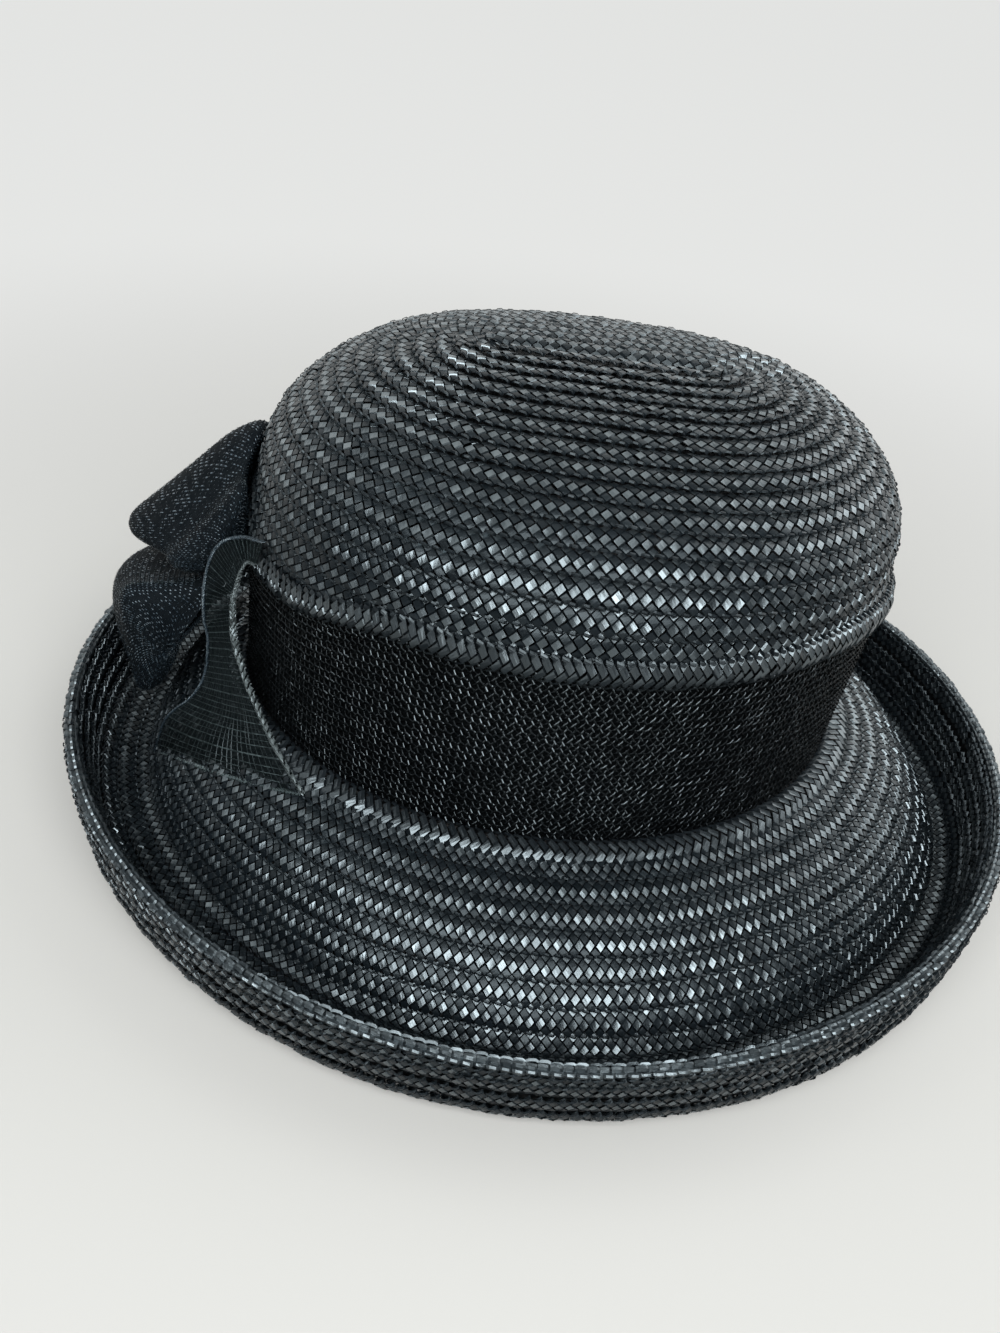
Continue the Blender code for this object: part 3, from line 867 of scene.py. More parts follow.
class CellMaker:
    """Makes the small meshes that the guides repeat."""

    LONG = (-1.16, -0.74, 0.74, 1.16)
    WIDE = (-0.89, 0.0, 0.89)
    FLAT = (-0.89, 0.89)
    THREAD_HALF = 0.09
    THREAD_STEPS = 4
    NET_HALF = 0.065
    NET_STEPS = 3
    NET_CORNERS = (0.0, 120.0, 240.0, 360.0)
    NET_TALL = 8.0

    def make(self, stitch: Stitch) -> Piece:
        """Small mesh of one stitch, linked to the scene until the guides are done.

        Args:
            stitch: Which one.

        Returns:
            Its object.
        """
        parts = MeshParts()
        {
            Stitch.PLAIT: self._plait,
            Stitch.PLAIN_PLAIT: self._plain_plait,
            Stitch.HERRINGBONE: self._herringbone,
            Stitch.WEAVE: self._weave,
            Stitch.FOLD: self._fold,
            Stitch.NET: self._net,
        }[stitch](parts)
        return show("cell_" + stitch.value, parts.mesh("cell_" + stitch.value))

    @staticmethod
    def _diamonds() -> tuple[Straw, ...]:
        """Crossings of the plait from the row's outer edge inwards.

        Returns:
            The straws that show.
        """
        rise, fall = (0.25, 0.117), (0.25, -0.117)
        return (
            Straw((0.5, 0.835), (0.25, -0.090), (0.25, 0.090), rise=0.85, number=1),
            Straw((0.0, 0.610), rise, fall, number=2),
            Straw((0.5, 0.375), fall, rise, number=3),
            Straw((0.0, 0.185), (0.25, 0.09), (0.25, -0.09), rise=0.8, number=4),
        )

    def _plait(self, parts: MeshParts) -> None:
        """Four crossings and the fold at the row's outer edge.

        Args:
            parts: The mesh under construction.
        """
        for straw in self._diamonds():
            straw.add_to(parts, self.LONG, self.WIDE if straw.number < 4 else self.FLAT)
        fold = Straw(
            (0.0, 0.962), (0.38, 0.035), (-0.02, 0.05), rise=1.3, lowered=0.6, number=7, roll=0.25
        )
        fold.add_to(parts, (-1.0, -0.5, 0.5, 1.0), (-1.0, 0.1, 1.0))

    def _plain_plait(self, parts: MeshParts) -> None:
        """The same crossings with few faces, for where the hat is seen from below.

        Args:
            parts: The mesh under construction.
        """
        for straw in self._diamonds():
            straw.add_to(parts, (-1.1, 0.0, 1.1), (-0.95, 0.95))
        fold = Straw((0.0, 0.975), (0.42, 0.0), (0.0, 0.07), rise=1.2, number=7, roll=0.5)
        fold.add_to(parts, (-1.0, 0.0, 1.0), (-0.9, 0.9))

    def _herringbone(self, parts: MeshParts) -> None:
        """Two rows of slanting leaves between looped edges.

        Args:
            parts: The mesh under construction.
        """
        for straw in (
            Straw((0.0, 0.06), (0.46, 0.05), (0.02, 0.07), rise=0.9, number=1),
            Straw((0.5, 0.30), (0.42, 0.20), (0.22, -0.11), rise=1.0),
            Straw((0.0, 0.68), (0.42, -0.20), (0.22, 0.11), rise=1.0),
            Straw((0.5, 0.94), (0.40, -0.05), (0.02, 0.05), rise=0.9, number=1),
        ):
            straw.add_to(parts, self.LONG, self.WIDE)

    def _fold(self, parts: MeshParts) -> None:
        """One rounded fold of straw at a braid's edge."""
        fold = Straw((0.5, 0.5), (0.50, 0.06), (0.0, 0.5), lowered=0.6, number=6, roll=0.6)
        fold.add_to(parts, (-1.0, -0.55, 0.0, 0.55, 1.0), (-1.0, -0.35, 0.35, 1.0))

    def _weave(self, parts: MeshParts) -> None:
        """One repeat of a bias weave: two threads that cross over and under.

        Args:
            parts: The mesh under construction.
        """
        steps = np.linspace(0.0, 1.0, self.THREAD_STEPS)
        wave = np.cos(2.0 * math.pi * steps)
        for number, start, ahead, sign in (
            (0, (0.0, 0.0), (1.0, 1.0), 1.0), (1, (0.0, 1.0), (1.0, -1.0), -1.0),
        ):
            x = start[0] + ahead[0] * steps
            y = start[1] + ahead[1] * steps
            beside = np.array((-ahead[1], ahead[0])) * self.THREAD_HALF
            rails = [
                np.stack([x + side * beside[0], y + side * beside[1], sign * wave], axis=1)
                for side in (-1.0, 1.0)
            ]
            points = np.stack(rails, axis=1)
            sides = (0.02 + 2.0 * number, 0.98 + 2.0 * number)
            places = np.stack(np.meshgrid(steps, sides, indexing="ij")[::-1], axis=2)
            parts.add_grid(points, places)

    def _net(self, parts: MeshParts) -> None:
        """One square of an open net, of two thin round threads.

        Args:
            parts: The mesh under construction.
        """
        steps = np.linspace(0.0, 1.0, self.NET_STEPS)
        turns = np.radians(self.NET_CORNERS)
        ring = np.stack([np.cos(turns), np.sin(turns)], axis=1) * self.NET_HALF
        for flat, level, size in ((0, -0.3, 0.7), (1, 0.3, 1.3)):
            points = np.empty((len(steps), len(ring), 3))
            points[:, :, flat] = steps[:, None]
            points[:, :, 1 - flat] = 0.5 + size * ring[None, :, 0]
            points[:, :, 2] = level + size * ring[None, :, 1] * self.NET_TALL
            places = np.stack(
                np.meshgrid(steps, np.linspace(0.0, 1.0, len(ring)), indexing="ij")[::-1], axis=2
            )
            parts.add_grid(points, places, flip=flat == 0)


@dataclass(frozen=True)
class Guide:
    """Grid of points that a stitch is laid on.

    Attributes:
        points: Points as an array of [lines, columns + 1, 3].
        outwards: Unit vectors out of the face, of the same shape.
    """

    points: np.ndarray
    outwards: np.ndarray

    @property
    def columns(self) -> int:
        """Cells along the guide."""
        return self.points.shape[1] - 1

    @property
    def rows(self) -> int:
        """Rows of cells across the guide."""
        return (self.points.shape[0] - 1) // 2

    def mesh(self, name: str) -> bpy.types.Mesh:
        """The guide as a mesh of points with its directions.

        Args:
            name: Name of the mesh.

        Returns:
            The mesh.
        """
        mesh = bpy.data.meshes.new(name)
        mesh.from_pydata([tuple(point) for point in self.points.reshape(-1, 3)], [], [])
        directions = mesh.attributes.new("out", "FLOAT_VECTOR", "POINT")
        directions.data.foreach_set("vector", self.outwards.astype(np.float32).reshape(-1))
        return mesh


class Layer:
    """Lays stitches along guides and turns the results into plain meshes."""

    def __init__(self) -> None:
        """Build the node tree and the small meshes once."""
        self.tree = bending_tree()
        maker = CellMaker()
        self.cells = {stitch: maker.make(stitch) for stitch in Stitch}

    def lay(
        self, name: str, guide: Guide, stitch: Stitch, finish: Finish,
        thickness: float, seed: int,
    ) -> Piece:
        """Lay one stitch on a guide.

        Args:
            name: Name of the new piece.
            guide: Where the cells go.
            stitch: Which small mesh is repeated.
            finish: Material of the piece.
            thickness: Height of a straw's crest in metres.
            seed: Seed of the variation.

        Returns:
            The finished piece, a plain mesh at the origin.
        """
        carrier = show(name + "_guide", guide.mesh(name + "_guide"))
        modifier = carrier.modifiers.new("lay", "NODES")
        modifier.node_group = self.tree
        values = {
            "Cell": self.cells[stitch], "Columns": guide.columns, "Rows": guide.rows,
            "Thickness": thickness, "Wander": WANDER, "Seed": seed, "Finish": finish,
        }
        for item in self.tree.interface.items_tree:
            if item.item_type == "SOCKET" and item.name in values:
                modifier[item.identifier] = values[item.name]
        bpy.context.view_layer.update()
        evaluated = carrier.evaluated_get(bpy.context.evaluated_depsgraph_get())
        mesh = bpy.data.meshes.new_from_object(evaluated)
        mesh.name = name
        carrier.modifiers.remove(modifier)
        bpy.data.objects.remove(carrier, do_unlink=True)
        if not mesh.materials:
            mesh.materials.append(finish)
        return show(name, mesh)

    def clear(self) -> None:
        """Remove the small meshes once the pieces are made."""
        for cell in self.cells.values():
            bpy.data.objects.remove(cell, do_unlink=True)


@dataclass(frozen=True)
class Strip:
    """One strip of braid that winds round a face of the hat.

    Attributes:
        name: Name of the piece.
        first_row: Row at which its inner edge starts.
        turns: How many turns it makes.
        seed: Seed of its variation.
        under: Whether it lies on the brim's lower face.
        width: Its width in rows.
        low: Height of its inner edge over the face.
        high: Height of its outer edge, which lies on the next turn.
        start: Turn at which it starts.
        climb: Rows that it moves outwards in each turn.
        pitch: Length of one cell.
        ridge: Extra height of its middle.
        stitch: What it is made of.
        thickness: Height of a straw's crest.
    """

    name: str
    first_row: float
    turns: float
    seed: int
    under: bool = False
    width: float = 1.20
    low: float = 0.0
    high: float = 0.0017
    start: float = 0.0
    climb: float = 1.0
    pitch: float = SIZES.plait_pitch
    ridge: float = 0.0008
    stitch: Stitch = Stitch.PLAIT
    thickness: float = 0.00075

    def guide(self, surface: Surface) -> Guide:
        """Guide for the strip.

        Args:
            surface: The face that carries it.

        Returns:
            The guide, one row of cells wide.
        """
        fine = np.linspace(0.0, self.turns, max(LEAST_STEPS, int(self.turns * TURN_STEPS)))
        middle, _ = surface.sample(
            self.start + fine, self.first_row + self.climb * fine + self.width / 2
        )
        steps = np.linalg.norm(np.diff(middle, axis=0), axis=1)
        travelled = np.concatenate([[0.0], np.cumsum(steps)])
        columns = max(2, int(round(travelled[-1] / self.pitch)))
        places = np.interp(np.linspace(0.0, travelled[-1], columns + 1), travelled, fine)
        lines, outwards = [], []
        for share, extra in ((0.0, 0.0), (0.5, self.ridge), (1.0, 0.0)):
            points, normals = surface.sample(
                self.start + places, self.first_row + self.climb * places + self.width * share
            )
            lines.append(points + normals * (blend(self.low, self.high, share) + extra))
            outwards.append(normals)
        laid = np.stack(lines)
        laid[..., 2] = np.maximum(laid[..., 2], FLOOR_CLEARANCE)
        return Guide(laid, np.stack(outwards))

    def lay(self, guide: Guide, layer: Layer, finish: Finish) -> Piece:
        """The strip as a piece, laid on its guide."""
        return layer.lay(self.name, guide, self.stitch, finish, self.thickness, seed=self.seed)


CROWN_STRIP = Strip(
    "crown_braid", -0.62, 19.25, seed=3, width=1.22, high=0.0019, start=0.5, pitch=0.0036
)


def cloth_guide(
    points: np.ndarray, outwards: np.ndarray, rows: int, columns: int, uneven: float = 0.0
) -> Guide:
    """Guide for a weave over a table of points.

    Args:
        points: Points as an array of [n, m, 3], with m along the columns.
        outwards: Unit vectors out of the cloth, of the same shape.
        rows: Rows of cells.
        columns: Columns of cells.
        uneven: How far the lines stray by chance, as a share of a cell.

    Returns:
        The guide.
    """
    chance = np.random.default_rng(STRAY_SEED)
    i, j = np.arange(2 * rows + 1) / (2 * rows), np.arange(columns + 1) / columns
    i[1:-1] += uneven * chance.uniform(-0.5, 0.5, 2 * rows - 1) / (2 * rows)
    j[1:-1] += uneven * chance.uniform(-0.5, 0.5, columns - 1) / columns
    i, j = i * (points.shape[0] - 1), j * (points.shape[1] - 1)
    low_i = np.minimum(i.astype(int), points.shape[0] - 2)[:, None]
    low_j = np.minimum(j.astype(int), points.shape[1] - 2)[None, :]
    u, v = (i[:, None] - low_i)[..., None], (j[None, :] - low_j)[..., None]
    return Guide(*(between(table, low_i, low_j, u, v) for table in (points, outwards)))


@dataclass(frozen=True)
class StrawFinish:
    """Glossy dyed straw with fine grain along each straw.

    Attributes:
        name: Name of the material.
        dark: Colour of the darkest straws.
        light: Colour of the lightest straws.
        roughness: Mean roughness.
        gloss: Specular level of the shiniest straws.
        stretch: How far the highlights are drawn out across the grain.
        contrast: How much duller the gloss of the straws that lie the other way is made, as painted
            shade for the weaker highlight that the light's direction gives them.
        round: How far a straw is rounded across.
        bend: How far a straw is bent along its length.
        tilt: How far single straws lean by chance.
        grain: Depth of the grain.
        grain_scale: Its scale across, along and out of the straw.
        spread: Factor that sets the chances of neighbouring straws apart.
        shift: Factor that moves the grain from straw to straw.
        lot_share: Share of the straw's own chance in its colour, against the grain.
        luck: Gloss of the dullest straw, and what chance adds to it.
        rough: What is added to the roughness, always, by chance and by the grain.
    """

    name: str
    dark: Colour
    light: Colour
    roughness: float = 0.36
    gloss: float = 1.0
    stretch: float = 0.5
    contrast: float = 0.82
    round: float = 0.10
    bend: float = 0.20
    tilt: float = 0.28
    grain: float = 0.7
    grain_scale: tuple[float, float, float] = (13.0, 0.5, 1.0)
    spread: float = 371.0
    shift: float = 5.3
    lot_share: float = 0.6
    luck: tuple[float, float] = (0.75, 1.1)
    rough: tuple[float, float, float] = (-0.09, 0.12, 0.06)

    def make(self) -> Finish:
        """Build the material.

        Returns:
            The material.
        """
        material, g, shader = new_material(self.name)
        shader.inputs["Anisotropic"].default_value = self.stretch
        shader.inputs["Specular Tint"].default_value = FIBRE_TINT
        shade = g.add("ShaderNodeAttribute", {"attribute_name": "shade"}).outputs["Fac"]
        place = g.uv()
        across, along, _ = g.parts(place)
        number = g.math("FLOOR", g.times(across, 0.5))
        other = g.math("MODULO", number, 2.0)
        own = g.add("ShaderNodeCombineXYZ", X=g.times(shade, self.spread), Y=number).outputs[0]
        chance = g.add("ShaderNodeTexWhiteNoise", {"noise_dimensions": "3D"}, Vector=own)
        lots = g.parts(chance.outputs["Color"])
        stretched = g.vector("MULTIPLY", place, self.grain_scale)
        grain_place = g.vector("ADD", stretched, g.vector("SCALE", own, scale=self.shift))
        noise = g.add("ShaderNodeTexNoise", Vector=grain_place, Scale=1.0, Detail=2.0)
        grain = noise.outputs[0]
        mixed = g.plus(g.times(lots[0], self.lot_share), g.times(grain, 1.0 - self.lot_share))
        g.feed(shader.inputs["Base Color"], g.mixed(mixed, self.dark, self.light))
        # Painted shade: straws of odd number get a duller gloss, standing in for the family that the
        # light's direction leaves darker.
        kind = g.minus(1.0, g.times(other, self.contrast))
        luck = g.plus(self.luck[0], g.times(lots[1], self.luck[1]))
        g.feed(shader.inputs["Specular IOR Level"], g.times(g.times(kind, luck), self.gloss))
        low, by_lot, by_grain = self.rough
        rough = g.plus(self.roughness + low, g.times(lots[2], by_lot))
        g.feed(shader.inputs["Roughness"], g.plus(rough, g.times(grain, by_grain)))
        within = g.math("FRACT", g.times(across, 0.5))
        centred = [g.minus(socket, 0.5) for socket in (within, along, grain, lots[0], lots[1])]
        rounded = g.times(g.plus(centred[0], 0.25), 2.0 * self.round)
        sideways = g.plus(rounded, g.times(centred[2], self.grain))
        sideways = g.plus(sideways, g.times(centred[3], self.tilt))
        bent = g.times(centred[1], self.bend)
        lengthways = g.plus(bent, g.times(centred[4], self.tilt))
        g.feed(shader.inputs["Normal"], strand_normal(g, sideways, lengthways))
        tangent = g.add("ShaderNodeTangent", {"direction_type": "UV_MAP", "uv_map": "UVMap"})
        g.feed(shader.inputs["Tangent"], tangent.outputs[0])
        return material


@dataclass(frozen=True)
class BackingFinish:
    """Dark face seen between the straws and on the inside, with rows and crossings in relief.

    Attributes:
        name: Name of the material.
        colour: Its mean colour.
        roughness: Mean roughness.
        gloss: Specular level.
        relief: Strength of the relief.
        depth: Its depth in metres.
        row_cells: Crossings across a row.
    """

    name: str
    colour: Colour
    roughness: float = 0.5
    gloss: float = 0.12
    relief: float = 0.6
    depth: float = 0.0012
    row_cells: float = 2.1

    def make(self) -> Finish:
        """Build the material, whose UV map counts crossings along and rows down.

        Returns:
            The material.
        """
        material, g, shader = new_material(self.name)
        shader.inputs["Specular IOR Level"].default_value = self.gloss
        place = g.uv()
        u, row, _ = g.parts(place)
        v = g.times(row, self.row_cells)
        first = g.math("PINGPONG", g.plus(u, v), 0.5)
        second = g.math("PINGPONG", g.minus(u, v), 0.5)
        diamonds = g.times(g.times(first, second), 4.0)
        edge = g.math("POWER", g.math("FRACT", row), 6.0)
        height = g.minus(g.times(diamonds, 0.6), g.times(edge, 0.9))
        bump = g.add("ShaderNodeBump", Height=height, Strength=self.relief, Distance=self.depth)
        g.feed(shader.inputs["Normal"], bump.outputs[0])
        noise = g.add("ShaderNodeTexNoise", Vector=place, Scale=2.0, Detail=2.0)
        dark, light = (tuple(share * level for level in self.colour) for share in (0.6, 1.4))
        g.feed(shader.inputs["Base Color"], g.mixed(noise.outputs[0], dark, light))
        rough = g.plus(self.roughness - 0.1, g.times(diamonds, 0.2))
        g.feed(shader.inputs["Roughness"], rough)
        return material


@dataclass(frozen=True)
class MeshFinish:
    """Woven mesh of shiny fibre: threads, or the fine cloth between them.

    Attributes:
        name: Name of the material.
        dark: Colour of the darkest threads.
        light: Colour of the lightest threads.
        roughness: Mean roughness.
        gloss: Specular level.
        cover: Opacity, below 1 for a sheer film.
        round: How far a flat thread is shown rounded.
        tilt: How far single threads lean by chance.
        sided: How much darker and duller the threads are made that slant one way on the left and the
            other
        way on the right, as painted shade and painted glints for which threads catch the light.
        sided_from: Where the left ends and the right starts, in metres.
        scales: Scale of the changes in colour and of those in gloss.
    """

    name: str
    dark: Colour
    light: Colour
    roughness: float = 0.3
    gloss: float = 0.5
    cover: float = 1.0
    round: float = 0.0
    tilt: float = 0.0
    sided: float = 0.0
    sided_from: tuple[float, float] = (-0.03, 0.04)
    scales: tuple[float, float] = (900.0, 420.0)

    def make(self) -> Finish:
        """Build the material.

        Returns:
            The material.
        """
        material, g, shader = new_material(self.name)
        shader.inputs["Alpha"].default_value = self.cover
        shader.inputs["Specular Tint"].default_value = FIBRE_TINT
        place = g.add("ShaderNodeTexCoord").outputs["Object"]
        noise = g.add("ShaderNodeTexNoise", Vector=place, Scale=self.scales[0], Detail=2.0)
        shown = g.mixed(noise.outputs[0], self.dark, self.light)
        # Painted shade and glints: one slant's threads are darkened and dulled on each side of the hat.
        share = self._one_sided(g, place) if self.sided else None
        if share is not None:
            shown = g.vector("SCALE", shown, scale=share)
        g.feed(shader.inputs["Base Color"], shown)
        patches = g.add("ShaderNodeTexNoise", Vector=place, Scale=self.scales[1], Detail=1.0)
        gloss = g.times(g.ranged(patches.outputs[0], -0.30, 0.85), self.gloss)
        if share is not None:
            gloss = g.times(gloss, share)
        g.feed(shader.inputs["Specular IOR Level"], gloss)
        rough = g.plus(self.roughness - 0.05, g.times(noise.outputs[0], 0.1))
        g.feed(shader.inputs["Roughness"], rough)
        if self.round:
            within = g.times(g.math("FRACT", g.times(g.parts(g.uv())[0], 0.5)), 2.0)
            sideways = g.times(g.minus(within, 0.5), 2.0 * self.round)
            shade = g.add("ShaderNodeAttribute", {"attribute_name": "shade"}).outputs["Fac"]
            chance = g.add("ShaderNodeTexWhiteNoise", {"noise_dimensions": "1D"}, W=shade)
            lots = g.parts(chance.outputs["Color"])
            leans = [g.times(g.minus(lot, 0.5), 2.0 * self.tilt) for lot in lots[:2]]
            normal = strand_normal(g, g.plus(sideways, leans[0]), leans[1])
            g.feed(shader.inputs["Normal"], normal)
        return material

    def _one_sided(self, g: Graph, place: Socket) -> Socket:
        """Share of colour and gloss, with one slant's threads shiny on the left and the other's on the
        right, as painted glints and painted shade.

        Args:
            g: The material's graph.
            place: Object coordinates.

        Returns:
            The share, from 1 minus sided to 1.
        """
        number = g.math("FLOOR", g.times(g.parts(g.uv())[0], 0.5))
        right = g.ranged(g.parts(place)[0], *self.sided_from)
        apart = g.math("ABSOLUTE", g.minus(number, right))
        return g.minus(1.0, g.times(apart, self.sided))


@dataclass(frozen=True)
class Finishes:
    """The hat's materials, made once."""

    straw: Finish
    trim: Finish
    backing: Finish
    band_thread: Finish
    band_cloth: Finish
    bow_thread: Finish
    net_thread: Finish
    cord: Finish
    bow_cloth: Finish
    tail_film: Finish

    @classmethod
    def make(cls) -> "Finishes":
        """Build every material from its recipe."""
        return cls(**{use: recipe.make() for use, recipe in RECIPES.items()})


RECIPES = {
    "straw": StrawFinish("straw_braid", (0.0009, 0.0015, 0.0020), (0.0045, 0.0066, 0.0084)),
    "trim": StrawFinish(
        "trim_braid", (0.0008, 0.0013, 0.0018), (0.0045, 0.0062, 0.0078),
        roughness=0.34, gloss=0.8, contrast=0.6,
    ),
    "backing": BackingFinish("straw_wall", (0.0012, 0.0016, 0.002)),
    "band_thread": MeshFinish(
        "band_thread", (0.0015, 0.0019, 0.0023), (0.0065, 0.0078, 0.009),
        roughness=0.15, gloss=1.0, round=1.0, tilt=0.5, sided=0.9,
    ),
    "band_cloth": MeshFinish(
        "band_cloth", (0.0003, 0.0004, 0.0005), (0.0008, 0.001, 0.0012), roughness=0.8, gloss=0.05
    ),
    "bow_thread": MeshFinish(
        "bow_thread", (0.007, 0.012, 0.017), (0.023, 0.036, 0.047),
        roughness=0.28, gloss=1.0, round=0.8, tilt=0.16, sided=0.65,
    ),
    "net_thread": MeshFinish(
        "net_thread", (0.016, 0.023, 0.024), (0.050, 0.067, 0.070), roughness=0.30, gloss=1.0
    ),
    "cord": MeshFinish(
        "cord", (0.015, 0.020, 0.021), (0.095, 0.115, 0.118),
        roughness=0.28, gloss=1.0, round=0.5, tilt=0.6,
    ),
    "bow_cloth": MeshFinish(
        "bow_cloth", (0.0006, 0.0011, 0.0017), (0.0016, 0.0027, 0.0038), roughness=0.75, gloss=0.1
    ),
    "tail_film": MeshFinish(
        "tail_film", (0.0012, 0.002, 0.0022), (0.003, 0.0045, 0.005),
        roughness=0.7, gloss=0.05, cover=0.45,
    ),
}


def shell(
    name: str, front: Surface, back: Surface, rows: tuple[float, float], offset: float,
    finish: Finish, pitch_count: float, down: int = 61,
) -> Piece:
    """Closed smooth wall between two faces of the hat.

    Args:
        name: Name of the piece.
        front: Outer face.
        back: Inner face, with the same rows.
        rows: First and last row of the wall.
        offset: Distance that the wall stays inside its outer face.
        finish: Its material.
        pitch_count: Crossings of braid in one turn, for the relief.
        down: Points down the wall.

    Returns:
        The wall.
    """
    turn = np.linspace(0.0, 1.0, SHELL_AROUND)[:, None] * np.ones((1, down))
    row = np.ones((SHELL_AROUND, 1)) * np.linspace(rows[0], rows[1], down)[None, :]
    outer, out_normals = front.sample(turn, row)
    inner, _ = back.sample(turn, row)
    places = np.stack([turn * pitch_count, row], axis=2)
    outer = outer - out_normals * offset
    parts = MeshParts()
    loop = np.concatenate([outer, inner[:, ::-1], outer[:, :1]], axis=1)
    loop_places = np.concatenate([places, places[:, ::-1], places[:, :1]], axis=1)
    parts.add_grid(loop, loop_places, flip=True)
    wall = show(name, parts.mesh(name))
    finish_shell(wall, finish)
    return wall


def finish_shell(wall: Piece, finish: Finish) -> None:
    """Merge a shell's doubles, point its faces outwards and give it its material.

    Args:
        wall: The shell.
        finish: Its material.
    """
    bm = bmesh.new()
    bm.from_mesh(wall.data)
    bmesh.ops.remove_doubles(bm, verts=bm.verts, dist=1e-6)
    bmesh.ops.recalc_face_normals(bm, faces=bm.faces)
    bm.to_mesh(wall.data)
    bm.free()
    wall.data.shade_smooth()
    wall.data.set_sharp_from_angle(angle=math.radians(40.0))
    wall.data.materials.append(finish)


@dataclass
class Crown:
    """Domed crown of braid wound in a spiral from a short line at its top.

    Attributes:
        strip: The strip of braid.
        wall_depth: How far the wall lies inside the straw.
        crossings: Crossings in one turn of the wall's relief.
        tuck_cover: Share of the trim's width up to which the braid is pressed in.
        tuck_depth: How far it is pressed in under the band.
        tuck_run: Height over which it goes in.
    """

    strip: Strip = CROWN_STRIP
    wall_depth: float = 0.0003
    crossings: float = 180.0
    tuck_cover: float = 0.55
    tuck_depth: float = 0.0034
    tuck_run: float = 0.0045

    def build(self, faces: Faces, layer: Layer, finishes: Finishes) -> list[Piece]:
        """Build the wall and the rows of braid.

        Args:
            faces: The hat's smooth faces.
            layer: Lays the straw and the threads.
            finishes: The hat's materials.

        Returns:
            The pieces.
        """
        wall = shell(
            "crown_wall", faces.crown, faces.crown_inside, (0.0, CROWN_ROWS), self.wall_depth,
            finishes.backing, self.crossings,
        )
        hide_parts("crown")
        guide = self._tucked(self.strip.guide(faces.crown), faces)
        return [wall, self.strip.lay(guide, layer, finishes.straw)]

    def _tucked(self, guide: Guide, faces: Faces) -> Guide:
        """Same guide, pressed inwards where it runs under the band.

        Args:
            guide: The braid's guide.
            faces: The hat's smooth faces.

        Returns:
            The new guide.
        """
        x = guide.points[..., 0] - SIZES.crown_centre_x
        y = guide.points[..., 1] - SIZES.crown_centre_y
        height = guide.points[..., 2] - SEAM_HEIGHT
        x, y = x - SIZES.crown_lean_x * height, y - SIZES.crown_lean_y * height
        angles = np.arctan2(y / SIZES.seam_half_width, x / SIZES.seam_half_length)
        cover = faces.band_top(angles) + self.tuck_cover * SIZES.trim_width
        inwards = self.tuck_depth * eased((cover - height) / self.tuck_run)
        return Guide(guide.points - guide.outwards * inwards[..., None], guide.outwards)


BRIM_STRIPS = (
    Strip("brim_braid_slope", 0.6, 7.6, seed=5),
    Strip("brim_braid_upturn", 8.2, 5.4, seed=7, start=0.6),
    Strip(
        "brim_braid_rim", 13.9, 1.0, seed=9, width=1.05, low=0.0002, high=0.0009, climb=0.0,
        ridge=0.0,
    ),
    Strip("brim_braid_outside", 9.6, 4.4, seed=11, under=True),
    Strip(
        "brim_braid_below", 0.6, 9.0, seed=13, under=True, ridge=0.0, stitch=Stitch.PLAIN_PLAIT,
        thickness=0.0005,
    ),
)
FOOT_STRIP = Strip(
    "foot_braid", 0.78, 1.0, seed=15, width=1.25, low=0.0008, high=0.0008, climb=0.0,
    ridge=0.0012, stitch=Stitch.HERRINGBONE, thickness=0.0008,
)
RIM_STRIP = Strip(
    "rim_edge_braid", BRIM_ROWS - 1.02, 1.0, seed=17, under=True, width=1.0, low=0.0008,
    high=0.0013, climb=0.0, ridge=0.0004, thickness=0.0006,
)


@dataclass
class Brim:
    """Sloping brim with a curled, upturned edge.

    Attributes:
        strips: The strips of braid on both faces.
        wall_depth: How far the wall lies inside the straw.
        crossings: Crossings in one turn of the wall's relief.
        wall_rows: Points down the wall.
    """

    strips: tuple[Strip, ...] = BRIM_STRIPS
    wall_depth: float = 0.0003
    crossings: float = 260.0
    wall_rows: int = 81

    def build(self, faces: Faces, layer: Layer, finishes: Finishes) -> list[Piece]:
        """Build the wall and the rows of braid on both faces.

        Args:
            faces: The hat's smooth faces.
            layer: Lays the straw and the threads.
            finishes: The hat's materials.

        Returns:
            The pieces.
        """
        wall = shell(
            "brim_wall", faces.brim_top, faces.brim_under, (0.0, BRIM_ROWS), self.wall_depth,
            finishes.backing, self.crossings, self.wall_rows,
        )
        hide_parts("brim")
        guides = [
            strip.guide(faces.brim_under if strip.under else faces.brim_top)
            for strip in self.strips
        ]
        rows = [
            strip.lay(guide, layer, finishes.straw) for strip, guide in zip(self.strips, guides)
        ]
        return [wall, *rows]


